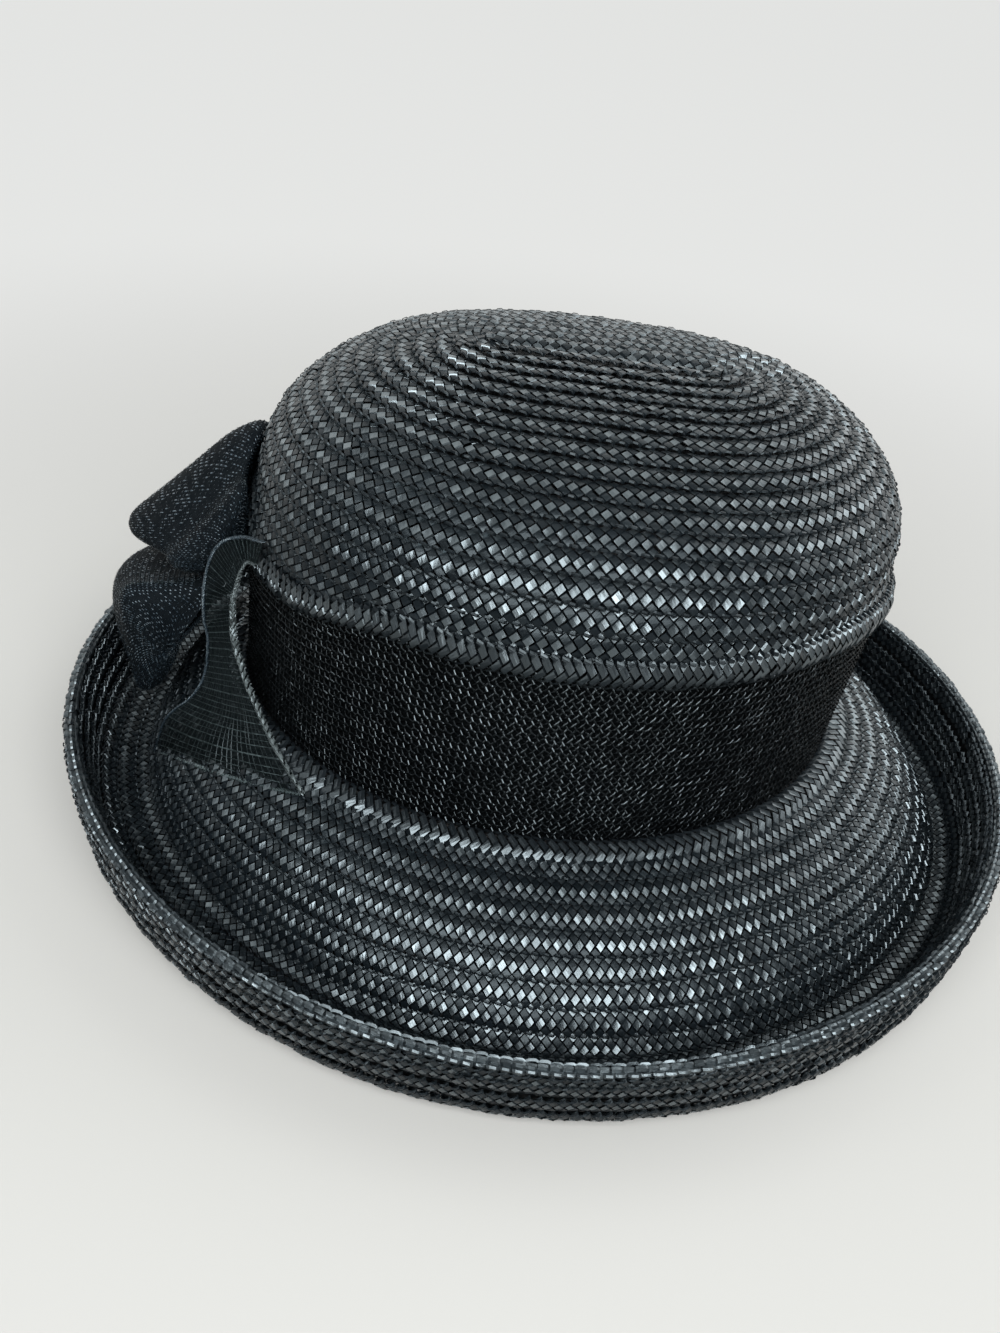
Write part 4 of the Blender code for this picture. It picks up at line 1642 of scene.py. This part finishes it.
@dataclass
class Trims:
    """Braid sewn over the joints: band's top, band's foot and rim.

    Attributes:
        foot: Strip round the band's foot.
        rim: Strip along the rim.
        fold_places: Places of the rim's folds round the hat, one more than the folds.
        fold_row: How far below the edge the rim's direction is taken, in rows.
        fold_section: Rise, distance out and share of the extra distance of a fold's lines.
        middle_places: Places of the folds between the rim's two sides.
        middle_section: Share across the rim and rise of those folds' lines.
        fold_height: Height of a fold's crest.
        upper_places: Places of the leaves along the band's top.
        upper_section: Share of the trim's width and distance out of its lines.
        upper_height: Height of a leaf's crest.
    """

    foot: Strip = FOOT_STRIP
    rim: Strip = RIM_STRIP
    fold_places: int = 309
    fold_row: float = 0.16
    fold_section: tuple = ((0.0006, -0.0003, 0.0), (0.0007, 0.0002, 1.0), (-0.0004, 0.0006, 1.0))
    middle_places: int = 321
    middle_section: tuple = ((0.1, 0.0006), (0.6, 0.0011), (1.1, 0.0006))
    fold_height: float = 0.0007
    upper_places: int = 201
    upper_section: tuple = ((1.0, 0.0009), (0.5, 0.0020), (0.0, 0.0009))
    upper_height: float = 0.0008

    def build(self, faces: Faces, layer: Layer, finishes: Finishes) -> list[Piece]:
        """Build the three trims.

        Args:
            faces: The hat's smooth faces.
            layer: Lays the straw and the threads.
            finishes: The hat's materials.

        Returns:
            The pieces.
        """
        low = self.foot.lay(self.foot.guide(faces.brim_top), layer, finishes.trim)
        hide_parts("lower_trim_braid")
        edge = self.rim.lay(self.rim.guide(faces.brim_under), layer, finishes.straw)
        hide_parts("rim_braid")
        folds = [
            layer.lay(name, guide, Stitch.FOLD, finishes.trim, self.fold_height, seed=seed)
            for name, guide, seed in (
                ("rim_fold_inside", self._rim_guide(faces.brim_top, 0.0), 31),
                ("rim_fold_outside", self._rim_guide(faces.brim_under, 0.0006), 33),
                ("rim_fold_middle", self._rim_top_guide(faces), 35),
            )
        ]
        top = layer.lay(
            "band_top_braid", self._upper_guide(faces), Stitch.HERRINGBONE, finishes.trim,
            self.upper_height, seed=19,
        )
        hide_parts("upper_trim_braid")
        return [low, edge, top, *folds]

    def _rim_guide(self, side: Surface, proud: float) -> Guide:
        """Guide of the folds along one side of the rim's edge.

        Args:
            side: The face of the brim on that side.
            proud: Extra distance out from it.

        Returns:
            The guide.
        """
        turn = np.linspace(0.0, 1.0, self.fold_places)
        face, outward = side.sample(turn, np.full_like(turn, BRIM_ROWS - self.fold_row))
        corner, _ = side.sample(turn, np.full_like(turn, BRIM_ROWS))
        up = unit(corner - face)
        lines = np.stack([
            corner + up * rise + outward * (out + share * proud)
            for rise, out, share in self.fold_section
        ])
        return Guide(lines, np.stack([unit(up + outward)] * 3))

    def _rim_top_guide(self, faces: Faces) -> Guide:
        """Guide of the folds between the rim's two sides.

        Args:
            faces: The hat's smooth faces.

        Returns:
            The guide.
        """
        turn = np.linspace(0.0, 1.0, self.middle_places)
        last = np.full_like(turn, BRIM_ROWS)
        inner, _ = faces.brim_top.sample(turn, last)
        outer, _ = faces.brim_under.sample(turn, last)
        up = unit(inner - faces.brim_top.sample(turn, last - self.fold_row)[0])
        lines = np.stack([
            blend(inner, outer, share) + up * height for share, height in self.middle_section
        ])
        return Guide(lines, np.stack([up] * 3))

    def _upper_guide(self, faces: Faces) -> Guide:
        """Guide of the braid that follows the band's top line, from one cut end to the other.

        Args:
            faces: The hat's smooth faces.

        Returns:
            The guide.
        """
        start, end = math.radians(SIZES.upper_trim_start), math.radians(SIZES.upper_trim_end)
        angles = np.linspace(start, end, self.upper_places)
        low = faces.band_top(angles)
        lines, outwards = [], []
        for share, out in self.upper_section:
            height = low + share * SIZES.trim_width
            points = beside_wall(angles, SIZES.gap + out, height)
            along = np.gradient(points, axis=0)
            up = beside_wall(angles, SIZES.gap + out, height + 0.001) - points
            lines.append(points)
            outwards.append(unit(np.cross(along, up)))
        return Guide(np.stack(lines), np.stack(outwards))


@dataclass
class Band:
    """Woven mesh band round the crown.

    Attributes:
        tile: Size of one repeat of the weave, along and across the band.
        length: Length that the repeats are counted on.
        height: Height that they are counted on.
        cloth_depth: How far the dark cloth lies under the band's face.
        cloth_rows: Points down the cloth.
        thread_height: Height of a thread's crest.
    """

    tile: tuple[float, float] = (0.0022, 0.0028)
    length: float = 0.602
    height: float = 0.063
    cloth_depth: float = 0.0004
    cloth_rows: int = 13
    thread_height: float = 0.00034

    def build(self, faces: Faces, layer: Layer, finishes: Finishes) -> list[Piece]:
        """Build the dark cloth and the threads that lie on it.

        Args:
            faces: The hat's smooth faces.
            layer: Lays the straw and the threads.
            finishes: The hat's materials.

        Returns:
            The pieces.
        """
        inner = Surface(faces.band.points - faces.band.normals * SIZES.band_wall, 1.0)
        cloth = shell(
            "band_cloth", faces.band, inner, (0.0, 1.0), self.cloth_depth, finishes.band_cloth,
            1.0, self.cloth_rows,
        )
        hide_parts("band")
        guide = cloth_guide(
            faces.band.points.transpose(1, 0, 2), faces.band.normals.transpose(1, 0, 2),
            int(self.height / self.tile[1]), int(self.length / self.tile[0]),
        )
        threads = layer.lay(
            "band_threads", guide, Stitch.WEAVE, finishes.band_thread, self.thread_height, seed=21
        )
        return [cloth, threads]


LOOP_ANGLES = (13.5, 0.0, -16.5)
UPPER_LOOP = (
    ((-0.01, 0.22), (-0.01, 0.22), (-0.01, 0.22)),
    ((0.01, 0.48), (0.00, 0.60), (0.02, 0.42)),
    ((0.04, 0.72), (-0.08, 0.93), (0.06, 0.60)),
    ((0.20, 0.56), (0.16, 0.84), (0.24, 0.50)),
    ((0.36, 0.36), (0.48, 0.52), (0.46, 0.28)),
    ((0.52, 0.18), (0.80, 0.19), (0.66, 0.06)),
    ((0.60, 0.08), (1.00, -0.03), (0.76, -0.10)),
    ((0.56, 0.02), (0.94, -0.14), (0.68, -0.18)),
    ((0.44, -0.02), (0.66, -0.13), (0.48, -0.14)),
    ((0.27, -0.01), (0.27, -0.02), (0.27, -0.04)),
)
LOWER_LOOP = (
    ((0.18, -0.10), (0.18, -0.12), (0.18, -0.16)),
    ((0.46, -0.20), (0.46, -0.29), (0.42, -0.35)),
    ((0.72, -0.21), (0.75, -0.36), (0.64, -0.43)),
    ((0.92, -0.22), (1.00, -0.43), (0.82, -0.54)),
    ((1.00, -0.36), (1.11, -0.62), (0.91, -0.71)),
    ((0.98, -0.66), (1.12, -0.92), (0.91, -0.94)),
    ((0.94, -0.95), (1.06, -1.24), (0.88, -1.17)),
    ((0.88, -1.22), (0.97, -1.49), (0.81, -1.37)),
    ((0.76, -1.22), (0.86, -1.43), (0.71, -1.33)),
    ((0.61, -0.97), (0.72, -1.12), (0.60, -1.10)),
    ((0.52, -0.70), (0.60, -0.80), (0.50, -0.85)),
    ((0.40, -0.48), (0.42, -0.52), (0.38, -0.62)),
    ((0.26, -0.38), (0.26, -0.42), (0.26, -0.50)),
)


@dataclass(frozen=True)
class LoopShape:
    """How a loop of ribbon is puffed.

    Attributes:
        table: Its sections at the three stations.
        heart: Place that its edges curl towards, in shares of the bow's reach and rise.
        front_bulge: Degrees that the front edge goes out before it turns inwards.
        front_opening: Share of the front edge's size that stays open.
        back_bulge: The same at the back edge.
        back_opening: The same at the back edge.
        folds: Soft folds across the ribbon.
        fold_depth: Their depth in metres.
        slant: How far the folds move across in the loop's length, in folds.
        sway: How far they sway, in folds.
        sway_rate: How fast they sway along the loop.
    """

    table: tuple
    heart: tuple[float, float]
    front_bulge: float
    front_opening: float
    back_bulge: float
    back_opening: float
    folds: float = 2.6
    fold_depth: float = 0.0010
    slant: float = 0.8
    sway: float = 0.3
    sway_rate: float = 5.0


UPPER_SHAPE = LoopShape(UPPER_LOOP, (0.20, 0.12), 4.5, 0.34, 3.0, 0.25)
LOWER_SHAPE = LoopShape(LOWER_LOOP, (0.62, -0.75), 4.0, 0.01, 3.0, 0.01)
TAIL = (
    ((31.0, 0.03, 1.57), (28.5, 0.05, 1.33)),
    ((23.5, 0.11, 1.45), (25.0, 0.08, 1.27)),
    ((21.0, 0.27, 1.36), (26.0, 0.16, 1.21)),
    ((22.0, 0.40, 1.26), (26.0, 0.20, 1.09)),
    ((24.0, 0.49, 1.08), (25.5, 0.22, 0.98)),
    ((24.5, 0.50, 0.82), (26.5, 0.24, 0.88)),
    ((24.5, 0.46, 0.60), (28.0, 0.24, 0.66)),
    ((25.0, 0.50, 0.31), (32.0, 0.20, 0.42)),
    ((25.0, 0.64, 0.10), (37.0, 0.16, 0.20)),
    ((22.5, 0.88, -0.18), (43.5, 0.20, 0.07)),
    ((15.5, 1.09, None), (52.0, 0.37, None)),
)


def through(points: np.ndarray, places: np.ndarray) -> np.ndarray:
    """Points on a smooth curve through rows of points.

    Args:
        points: Rows as an array of [rows, ..., 3].
        places: Places on the curve, counted in rows.

    Returns:
        Points as an array of [places, ..., 3].
    """
    last = len(points) - 1
    index = np.minimum(places.astype(int), last - 1)
    t = (places - index).reshape((-1,) + (1,) * (points.ndim - 1))
    before, low = points[np.maximum(index - 1, 0)], points[index]
    high, after = points[index + 1], points[np.minimum(index + 2, last)]
    return 0.5 * (
        2.0 * low + (high - before) * t
        + (2.0 * before - 5.0 * low + 4.0 * high - after) * t ** 2
        + (3.0 * low - before - 3.0 * high + after) * t ** 3
    )


def at_bow(degrees: Number, out: Number, height: Number) -> np.ndarray:
    """Points by the bow.

    Args:
        degrees: Degrees round the crown from its end under the bow.
        out: Distances out from the band.
        height: Heights over the seam.

    Returns:
        The points.
    """
    angle = math.pi + np.radians(degrees)
    return beside_wall(angle, np.array(out), np.array(height), straight=True)


def signed_power(value: float, power: float) -> float:
    """Power of a value that keeps its sign."""
    return math.copysign(abs(value) ** power, value)


def sheet_normals(points: np.ndarray) -> np.ndarray:
    """Unit normals of a table of points."""
    return unit(np.cross(np.gradient(points, axis=1), np.gradient(points, axis=0)))


@dataclass
class Bow:
    """Two loops, a knot and a free tail of mesh ribbon.

    Attributes:
        tile: Size of one repeat of the ribbon's weave.
        film: Thickness of the cloth between the threads.
        thread_height: Height of a thread's crest on the loops.
        edge_half: Half width of the loops' edges.
        loop_along: Points along a loop.
        loop_across: Points across the middle of a loop.
        curl_rows: Rows that carry a loop's edge inwards.
        tail_across: Points across the tail.
        tail_along: Points along the tail.
        net_cells: Squares of net across and along the tail.
        net_stray: How far the net's lines stray, as a share of a square.
        net_height: Height of a net thread.
        selvedge_places: Points of the tail at which its selvedge's width is given.
        selvedge_halves: Half width of the selvedge at those points.
        seat_lift: Height of the tail's end over the brim's face.
        knot_grid: Points round the knot and down it.
        knot_share: Share of the solid knot that the wrap fills.
        knot_square: Power that squares the knot's section, 1 for an oval.
        knot_taper: Power that narrows it to its ends.
        knot_ends: Power that rounds its ends.
        pleats: Pleats round the knot.
        pleat_depth: Their depth as a share of the knot's.
    """

    tile: float = 0.0013
    film: float = 0.0004
    thread_height: float = 0.00036
    edge_half: float = 0.0006
    loop_along: int = 141
    loop_across: int = 41
    curl_rows: int = 15
    tail_across: int = 25
    tail_along: int = 81
    net_cells: tuple[int, int] = (26, 54)
    net_stray: float = 0.8
    net_height: float = 0.00032
    selvedge_places: tuple[int, ...] = (0, 20, 45)
    selvedge_halves: tuple[float, ...] = (0.0006, 0.0007, 0.0012)
    seat_lift: float = 0.0016
    knot_grid: tuple[int, int] = (49, 65)
    knot_share: float = 0.95
    knot_square: float = 0.6
    knot_taper: float = 0.5
    knot_ends: float = 0.8
    pleats: float = 9.0
    pleat_depth: float = 0.06

    def build(self, layer: Layer, finishes: Finishes) -> list[Piece]:
        """Build the loops, the knot and the tail.

        Args:
            layer: Lays the threads.
            finishes: The hat's materials.

        Returns:
            The pieces.
        """
        made = []
        for name, node, shape, seed in (
            ("bow_upper_ribbon", "bow_upper_loop", UPPER_SHAPE, 23),
            ("bow_lower_ribbon", "bow_lower_loop", LOWER_SHAPE, 25),
        ):
            points = self._loop(shape)
            film = self._film(name, points[::2, ::2], finishes.bow_cloth)
            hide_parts(node)
            length = np.linalg.norm(np.diff(points, axis=1), axis=2).sum(axis=1).mean()
            width = np.linalg.norm(np.diff(points[:, points.shape[1] // 2], axis=0), axis=1).sum()
            normals = sheet_normals(points)
            guide = cloth_guide(points, normals, int(width / self.tile), int(length / self.tile))
            threads = layer.lay(
                name + "_threads", guide, Stitch.WEAVE, finishes.bow_thread, self.thread_height,
                seed=seed,
            )
            made += [film, threads]
            rows = self.curl_rows
            for side, edge, inside in (("front", rows - 1, rows + 1), ("back", -rows, -rows - 2)):
                made.append(self._cord(
                    f"{name}_{side}_edge", points[edge], points[inside], normals[edge],
                    self.edge_half, layer, finishes.net_thread,
                ))
        made += self._tail(layer, finishes)
        made.append(self._knot(finishes))
        return made

    def _loop(self, shape: LoopShape) -> np.ndarray:
        """Table of points of one loop, both of whose edges curl inwards to puff it.

        Args:
            shape: The loop.

        Returns:
            The points, across the ribbon and then along it.
        """
        along = np.linspace(0.0, len(shape.table) - 1, self.loop_along)
        places = [
            np.array([
                (degrees, row[station][0] * SIZES.bow_reach, row[station][1] * SIZES.bow_rise)
                for row in shape.table
            ])
            for station, degrees in enumerate(LOOP_ANGLES)
        ]
        stations = np.stack([through(rows, along) for rows in places])
        across = np.linspace(0.0, len(LOOP_ANGLES) - 1.0, self.loop_across)
        middle = through(stations, across)
        front = self._curl(middle[0], shape, shape.front_bulge, shape.front_opening)
        back = self._curl(middle[-1], shape, -shape.back_bulge, shape.back_opening)
        whole = np.concatenate([front[::-1], middle[1:-1], back])
        share = np.linspace(0.0, 1.0, whole.shape[1])[None, :]
        ribbon = np.linspace(0.0, 1.0, whole.shape[0])[:, None]
        fade = np.sin(math.pi * share) ** 0.5
        sway = shape.sway * np.sin(shape.sway_rate * share)
        fold = np.sin(2.0 * math.pi * (shape.folds * ribbon + shape.slant * share + sway))
        points = at_bow(
            whole[..., 0], whole[..., 1] + SIZES.gap + SIZES.ribbon_wall,
            SIZES.knot_height + whole[..., 2],
        )
        return points + sheet_normals(points) * (shape.fold_depth * fade * fold)[..., None]

    def _curl(
        self, edge: np.ndarray, shape: LoopShape, bulge: float, opening: float
    ) -> np.ndarray:
        """Rows that carry a loop's edge round inwards to a smaller opening.

        Args:
            edge: The edge as rows of degrees, out and height.
            shape: The loop that it belongs to.
            bulge: How many degrees it goes out before it turns.
            opening: Share of the edge's size that stays open.

        Returns:
            Rows from the edge inwards, as an array of [rows, along, 3].
        """
        heart = np.array((0.0, shape.heart[0] * SIZES.bow_reach, shape.heart[1] * SIZES.bow_rise))
        rows = []
        for turn in np.linspace(0.0, math.pi / 2, self.curl_rows):
            size = opening + (1.0 - opening) * math.cos(turn)
            row = heart + (edge - heart) * size
            row[:, 0] = edge[:, 0] + bulge * math.sin(turn)
            rows.append(row)
        return np.stack(rows)

    def _film(
        self, name: str, points: np.ndarray, finish: Finish
    ) -> Piece:
        """Thin closed cloth over a table of points.

        Args:
            name: Name of the piece.
            points: The table.
            finish: Its material.

        Returns:
            The cloth.
        """
        normals = sheet_normals(points)
        places = np.zeros(points.shape[:2] + (2,))
        parts = MeshParts()
        front, back = points + normals * self.film / 2, points - normals * self.film / 2
        parts.add_grid(front, places)
        parts.add_grid(back, places, flip=True)
        for one, two in ((front[:1], back[:1]), (back[-1:], front[-1:])):
            parts.add_grid(np.concatenate([one, two]), places[:2])
        for one, two in ((back[:, :1], front[:, :1]), (front[:, -1:], back[:, -1:])):
            parts.add_grid(np.concatenate([one, two], axis=1), places[:, :2])
        film = show(name, parts.mesh(name))
        finish_shell(film, finish)
        return film

    def _tail(self, layer: Layer, finishes: Finishes) -> list[Piece]:
        """The ribbon's free end, a sheer film with an open net on it.

        Args:
            layer: Lays the net and the cords.
            finishes: The hat's materials.

        Returns:
            The pieces.
        """
        columns = []
        for share in np.linspace(0.0, 1.0, self.tail_across):
            rows = []
            for left, right in TAIL:
                degrees = blend(left[0], right[0], share)
                out = blend(left[1], right[1], share) * SIZES.tail_reach
                if left[2] is None:
                    rows.append(self._seat(degrees, out))
                    continue
                height = SIZES.tail_drop * blend(left[2], right[2], share)
                rows.append(at_bow(degrees, SIZES.gap + SIZES.ribbon_wall + out, height))
            places = np.linspace(0.0, len(rows) - 1, self.tail_along)
            columns.append(through(np.array(rows), places))
        points = np.stack(columns)
        film = self._film("tail_ribbon", points, finishes.tail_film)
        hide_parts("bow_tail")
        normals = sheet_normals(points)
        guide = cloth_guide(points, normals, *self.net_cells, uneven=self.net_stray)
        net = layer.lay(
            "tail_net", guide, Stitch.NET, finishes.net_thread, self.net_height, seed=27
        )
        halves = np.interp(
            np.arange(self.tail_along), self.selvedge_places, self.selvedge_halves
        )
        edges = (
            ("tail_selvedge", points[-1], points[-2], normals[-1], halves, finishes.cord),
            ("tail_other_edge", points[0], points[1], normals[0], 0.0006, finishes.bow_thread),
            (
                "tail_bound_end", points[:, -1], points[:, -2], normals[:, -1], 0.0007,
                finishes.net_thread,
            ),
        )
        cords = [
            self._cord(name, edge, inside, facing, half, layer, finish)
            for name, edge, inside, facing, half, finish in edges
        ]
        return [film, net, *cords]

    @staticmethod
    def _cord(
        name: str, edge: np.ndarray, inside: np.ndarray, facing: np.ndarray,
        half: float | np.ndarray, layer: Layer, finish: Finish,
    ) -> Piece:
        """Twisted cord along an edge of the ribbon.

        Args:
            name: Name of the piece.
            edge: Points of the edge.
            inside: Points of the cloth next to the edge.
            facing: Unit vectors out of the cloth along the edge.
            half: Half of the cord's width in metres, one for all or one for each point.
            layer: Lays the cord's strands.
            finish: Its material.

        Returns:
            The cord.
        """
        side = unit(edge - inside)
        across = np.broadcast_to(half, len(edge))[:, None]
        mean = float(across.mean())
        lines = np.stack([edge - side * across, edge + facing * 0.8 * across, edge + side * across])
        columns = int(np.linalg.norm(np.diff(edge, axis=0), axis=1).sum() / (1.9 * mean))
        guide = cloth_guide(lines, np.stack([facing] * 3), 1, columns)
        return layer.lay(name, guide, Stitch.HERRINGBONE, finish, 0.6 * mean, seed=29)

    def _seat(self, degrees: float, out: float) -> np.ndarray:
        """Point of the tail's lower edge, where it lies on the brim.

        Args:
            degrees: Degrees round the crown from its end under the bow.
            out: Distance out from the band's foot.

        Returns:
            The point.
        """
        angle = np.array([math.pi + math.radians(degrees)])
        section = brim_points(angle, SIZES.brim_wall / 2 + self.seat_lift)[0]
        slope = section[TUCK_STEPS:TUCK_STEPS + SLOPE_STEPS]
        away = np.hypot(*(slope[:, :2] - slope[0, :2]).T)
        return np.array([np.interp(out, away, slope[:, axis]) for axis in range(3)])

    def _knot(self, finishes: Finishes) -> Piece:
        """Gathered wrap over the bow's middle, a rounded pad with pleats.

        Args:
            finishes: The hat's materials.

        Returns:
            The wrap.
        """
        across, down = self.knot_grid
        points = np.empty((across, down, 3))
        for i, turn in enumerate(np.linspace(0.0, 2.0 * math.pi, across)):
            side = signed_power(math.cos(turn), self.knot_square)
            depth = signed_power(math.sin(turn), self.knot_square)
            pleat = 1.0 + self.pleat_depth * math.cos(self.pleats * side * math.pi)
            for j, tilt in enumerate(np.linspace(-math.pi / 2, math.pi / 2, down)):
                narrow = math.cos(tilt) ** self.knot_taper
                rise = signed_power(math.sin(tilt), self.knot_ends)
                points[i, j] = at_bow(
                    self.knot_share * SIZES.knot_half_angle * side * narrow,
                    SIZES.gap + SIZES.knot_depth * (0.5 + 0.46 * depth * narrow * pleat),
                    SIZES.knot_height + rise * SIZES.knot_half_height * self.knot_share,
                )
        parts = MeshParts()
        parts.add_grid(points, np.zeros((across, down, 2)))
        knot = show("bow_wrap", parts.mesh("bow_wrap"))
        finish_shell(knot, finishes.bow_thread)
        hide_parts("bow_knot")
        return knot


@dataclass(frozen=True)
class SoftLight:
    """Soft rectangular light that faces the hat.

    Attributes:
        name: Name of the light.
        place: Where it stands, in metres.
        size: Its width and height in metres.
        power: Its power in watts.
    """

    name: str
    place: tuple[float, float, float]
    size: tuple[float, float]
    power: float

    def build(self) -> None:
        """Put up the light."""
        data = bpy.data.lights.new(self.name, "AREA")
        data.shape = "RECTANGLE"
        data.size, data.size_y = self.size
        data.energy = self.power
        light = bpy.data.objects.new(self.name, data)
        light.location = self.place
        light.rotation_euler = (-Vector(self.place)).to_track_quat("-Z", "Y").to_euler()
        bpy.context.scene.collection.objects.link(light)


LIGHTS = (
    SoftLight("key_light", (0.0, -0.84, 0.94), (1.7, 0.9), 49.0),
    SoftLight("side_light", (1.1, 0.5, 0.95), (1.3, 1.1), 13.0),
    SoftLight("left_light", (-1.0, 0.2, 0.9), (1.2, 1.0), 2.5),
)


@dataclass
class Studio:
    """Pale floor, soft lights and the camera.

    Attributes:
        place: The camera's place.
        right: Its direction to the right.
        up: Its direction upwards.
        ahead: Its direction of view.
        lens: Its lens in millimetres, for a sensor of that width.
        sensor: Width of its sensor in millimetres.
        front_level: Brightness of the surroundings in front of the hat.
        back_level: Their brightness behind it.
        seen_level: Brightness of the background that the camera sees.
        pale: Colour of the surroundings.
        floor_half: Half of the floor's size.
        floor_drop: How far the floor lies under the hat.
        floor_colour: Colour of the floor round the hat.
        far_colour: Colour of the floor where its own glow takes over.
        glow_start: Distance at which the glow starts.
        glow_end: Distance at which it is whole.
    """

    place: tuple[float, float, float] = (-0.02388, -0.31537, 0.23783 + SEAM_HEIGHT)
    right: tuple[float, float, float] = (0.99272032, 0.05676177, 0.10622841)
    up: tuple[float, float, float] = (-0.11895371, 0.60030703, 0.79087387)
    ahead: tuple[float, float, float] = (0.01887826, 0.79775283, -0.60268901)
    lens: float = 29.71
    sensor: float = 36.0
    front_level: float = 0.03
    back_level: float = 1.50
    seen_level: float = 0.77
    pale: Colour = (0.975, 0.985, 0.970)
    floor_half: float = 6.0
    floor_drop: float = 0.0002
    floor_colour: Colour = (0.285, 0.286, 0.276)
    far_colour: Colour = (0.02, 0.02, 0.02)
    glow_start: float = 0.05
    glow_end: float = 0.65

    def build(self) -> None:
        """Set up the stage."""
        self._camera()
        self._floor()
        self._world()
        for light in LIGHTS:
            light.build()

    def _camera(self) -> None:
        """Camera at the photograph's place and angle."""
        data = bpy.data.cameras.new("camera")
        data.lens = self.lens
        data.sensor_width = self.sensor
        data.clip_start = 0.01
        camera = bpy.data.objects.new("camera", data)
        turned = Matrix((self.right, self.up, tuple(-a for a in self.ahead))).transposed()
        camera.matrix_world = Matrix.Translation(self.place) @ turned.to_4x4()
        bpy.context.scene.collection.objects.link(camera)
        bpy.context.scene.camera = camera

    def _floor(self) -> None:
        """Pale floor under the hat."""
        ends = (-self.floor_half, self.floor_half)
        corners = np.array([[(x, y, -self.floor_drop) for y in ends] for x in ends])
        parts = MeshParts()
        parts.add_grid(corners, corners[..., :2], flip=True)
        floor = show("floor", parts.mesh("floor"))
        material, g, shader = new_material("floor")
        place = g.add("ShaderNodeTexCoord").outputs["Object"]
        away = g.add("ShaderNodeVectorMath", {"operation": "LENGTH"})
        g.feed(away.inputs[0], place)
        far = g.ranged(
            away.outputs["Value"], self.glow_start, self.glow_end, interpolation="SMOOTHSTEP"
        )
        g.feed(shader.inputs["Base Color"], g.mixed(far, self.floor_colour, self.far_colour))
        shader.inputs["Roughness"].default_value = 0.9
        shader.inputs["Specular IOR Level"].default_value = 0.0
        shader.inputs["Emission Color"].default_value = (*self.pale, 1.0)
        g.feed(shader.inputs["Emission Strength"], g.times(far, self.seen_level))
        floor.data.materials.append(material)

    def _world(self) -> None:
        """Pale surroundings, brighter behind the hat than in front of it."""
        world = bpy.data.worlds.new("studio")
        world.use_nodes = True
        g = Graph(world.node_tree)
        background = world.node_tree.nodes["Background"]
        place = g.add("ShaderNodeTexCoord").outputs["Generated"]
        back = g.parts(place)[1]
        level = g.ranged(back, -0.15, 0.60, (self.front_level, self.back_level))
        seen = g.add("ShaderNodeLightPath").outputs["Is Camera Ray"]
        strength = g.add("ShaderNodeMix", {"data_type": "FLOAT"})
        g.feed(strength.inputs[0], seen)
        g.feed(strength.inputs[2], level)
        strength.inputs[3].default_value = self.seen_level
        background.inputs["Color"].default_value = (*self.pale, 1.0)
        g.feed(background.inputs["Strength"], strength.outputs[0])
        bpy.context.scene.world = world
        bpy.context.scene.view_settings.view_transform = "Standard"


def main() -> None:
    """Load the frame, dress every piece and report what was made."""
    logging.basicConfig(level=logging.INFO, format="%(name)s: %(message)s")
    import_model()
    Studio().build()
    faces, layer, finishes = Faces(), Layer(), Finishes.make()
    made = {
        "crown": Crown().build(faces, layer, finishes),
        "brim": Brim().build(faces, layer, finishes),
        "trim": Trims().build(faces, layer, finishes),
        "band": Band().build(faces, layer, finishes),
        "bow": Bow().build(layer, finishes),
    }
    layer.clear()
    for group, pieces in made.items():
        for piece in pieces:
            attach(piece, "root")
            log.info("%s: %d faces", piece.name, len(piece.data.polygons))


if __name__ == "__main__":
    main()
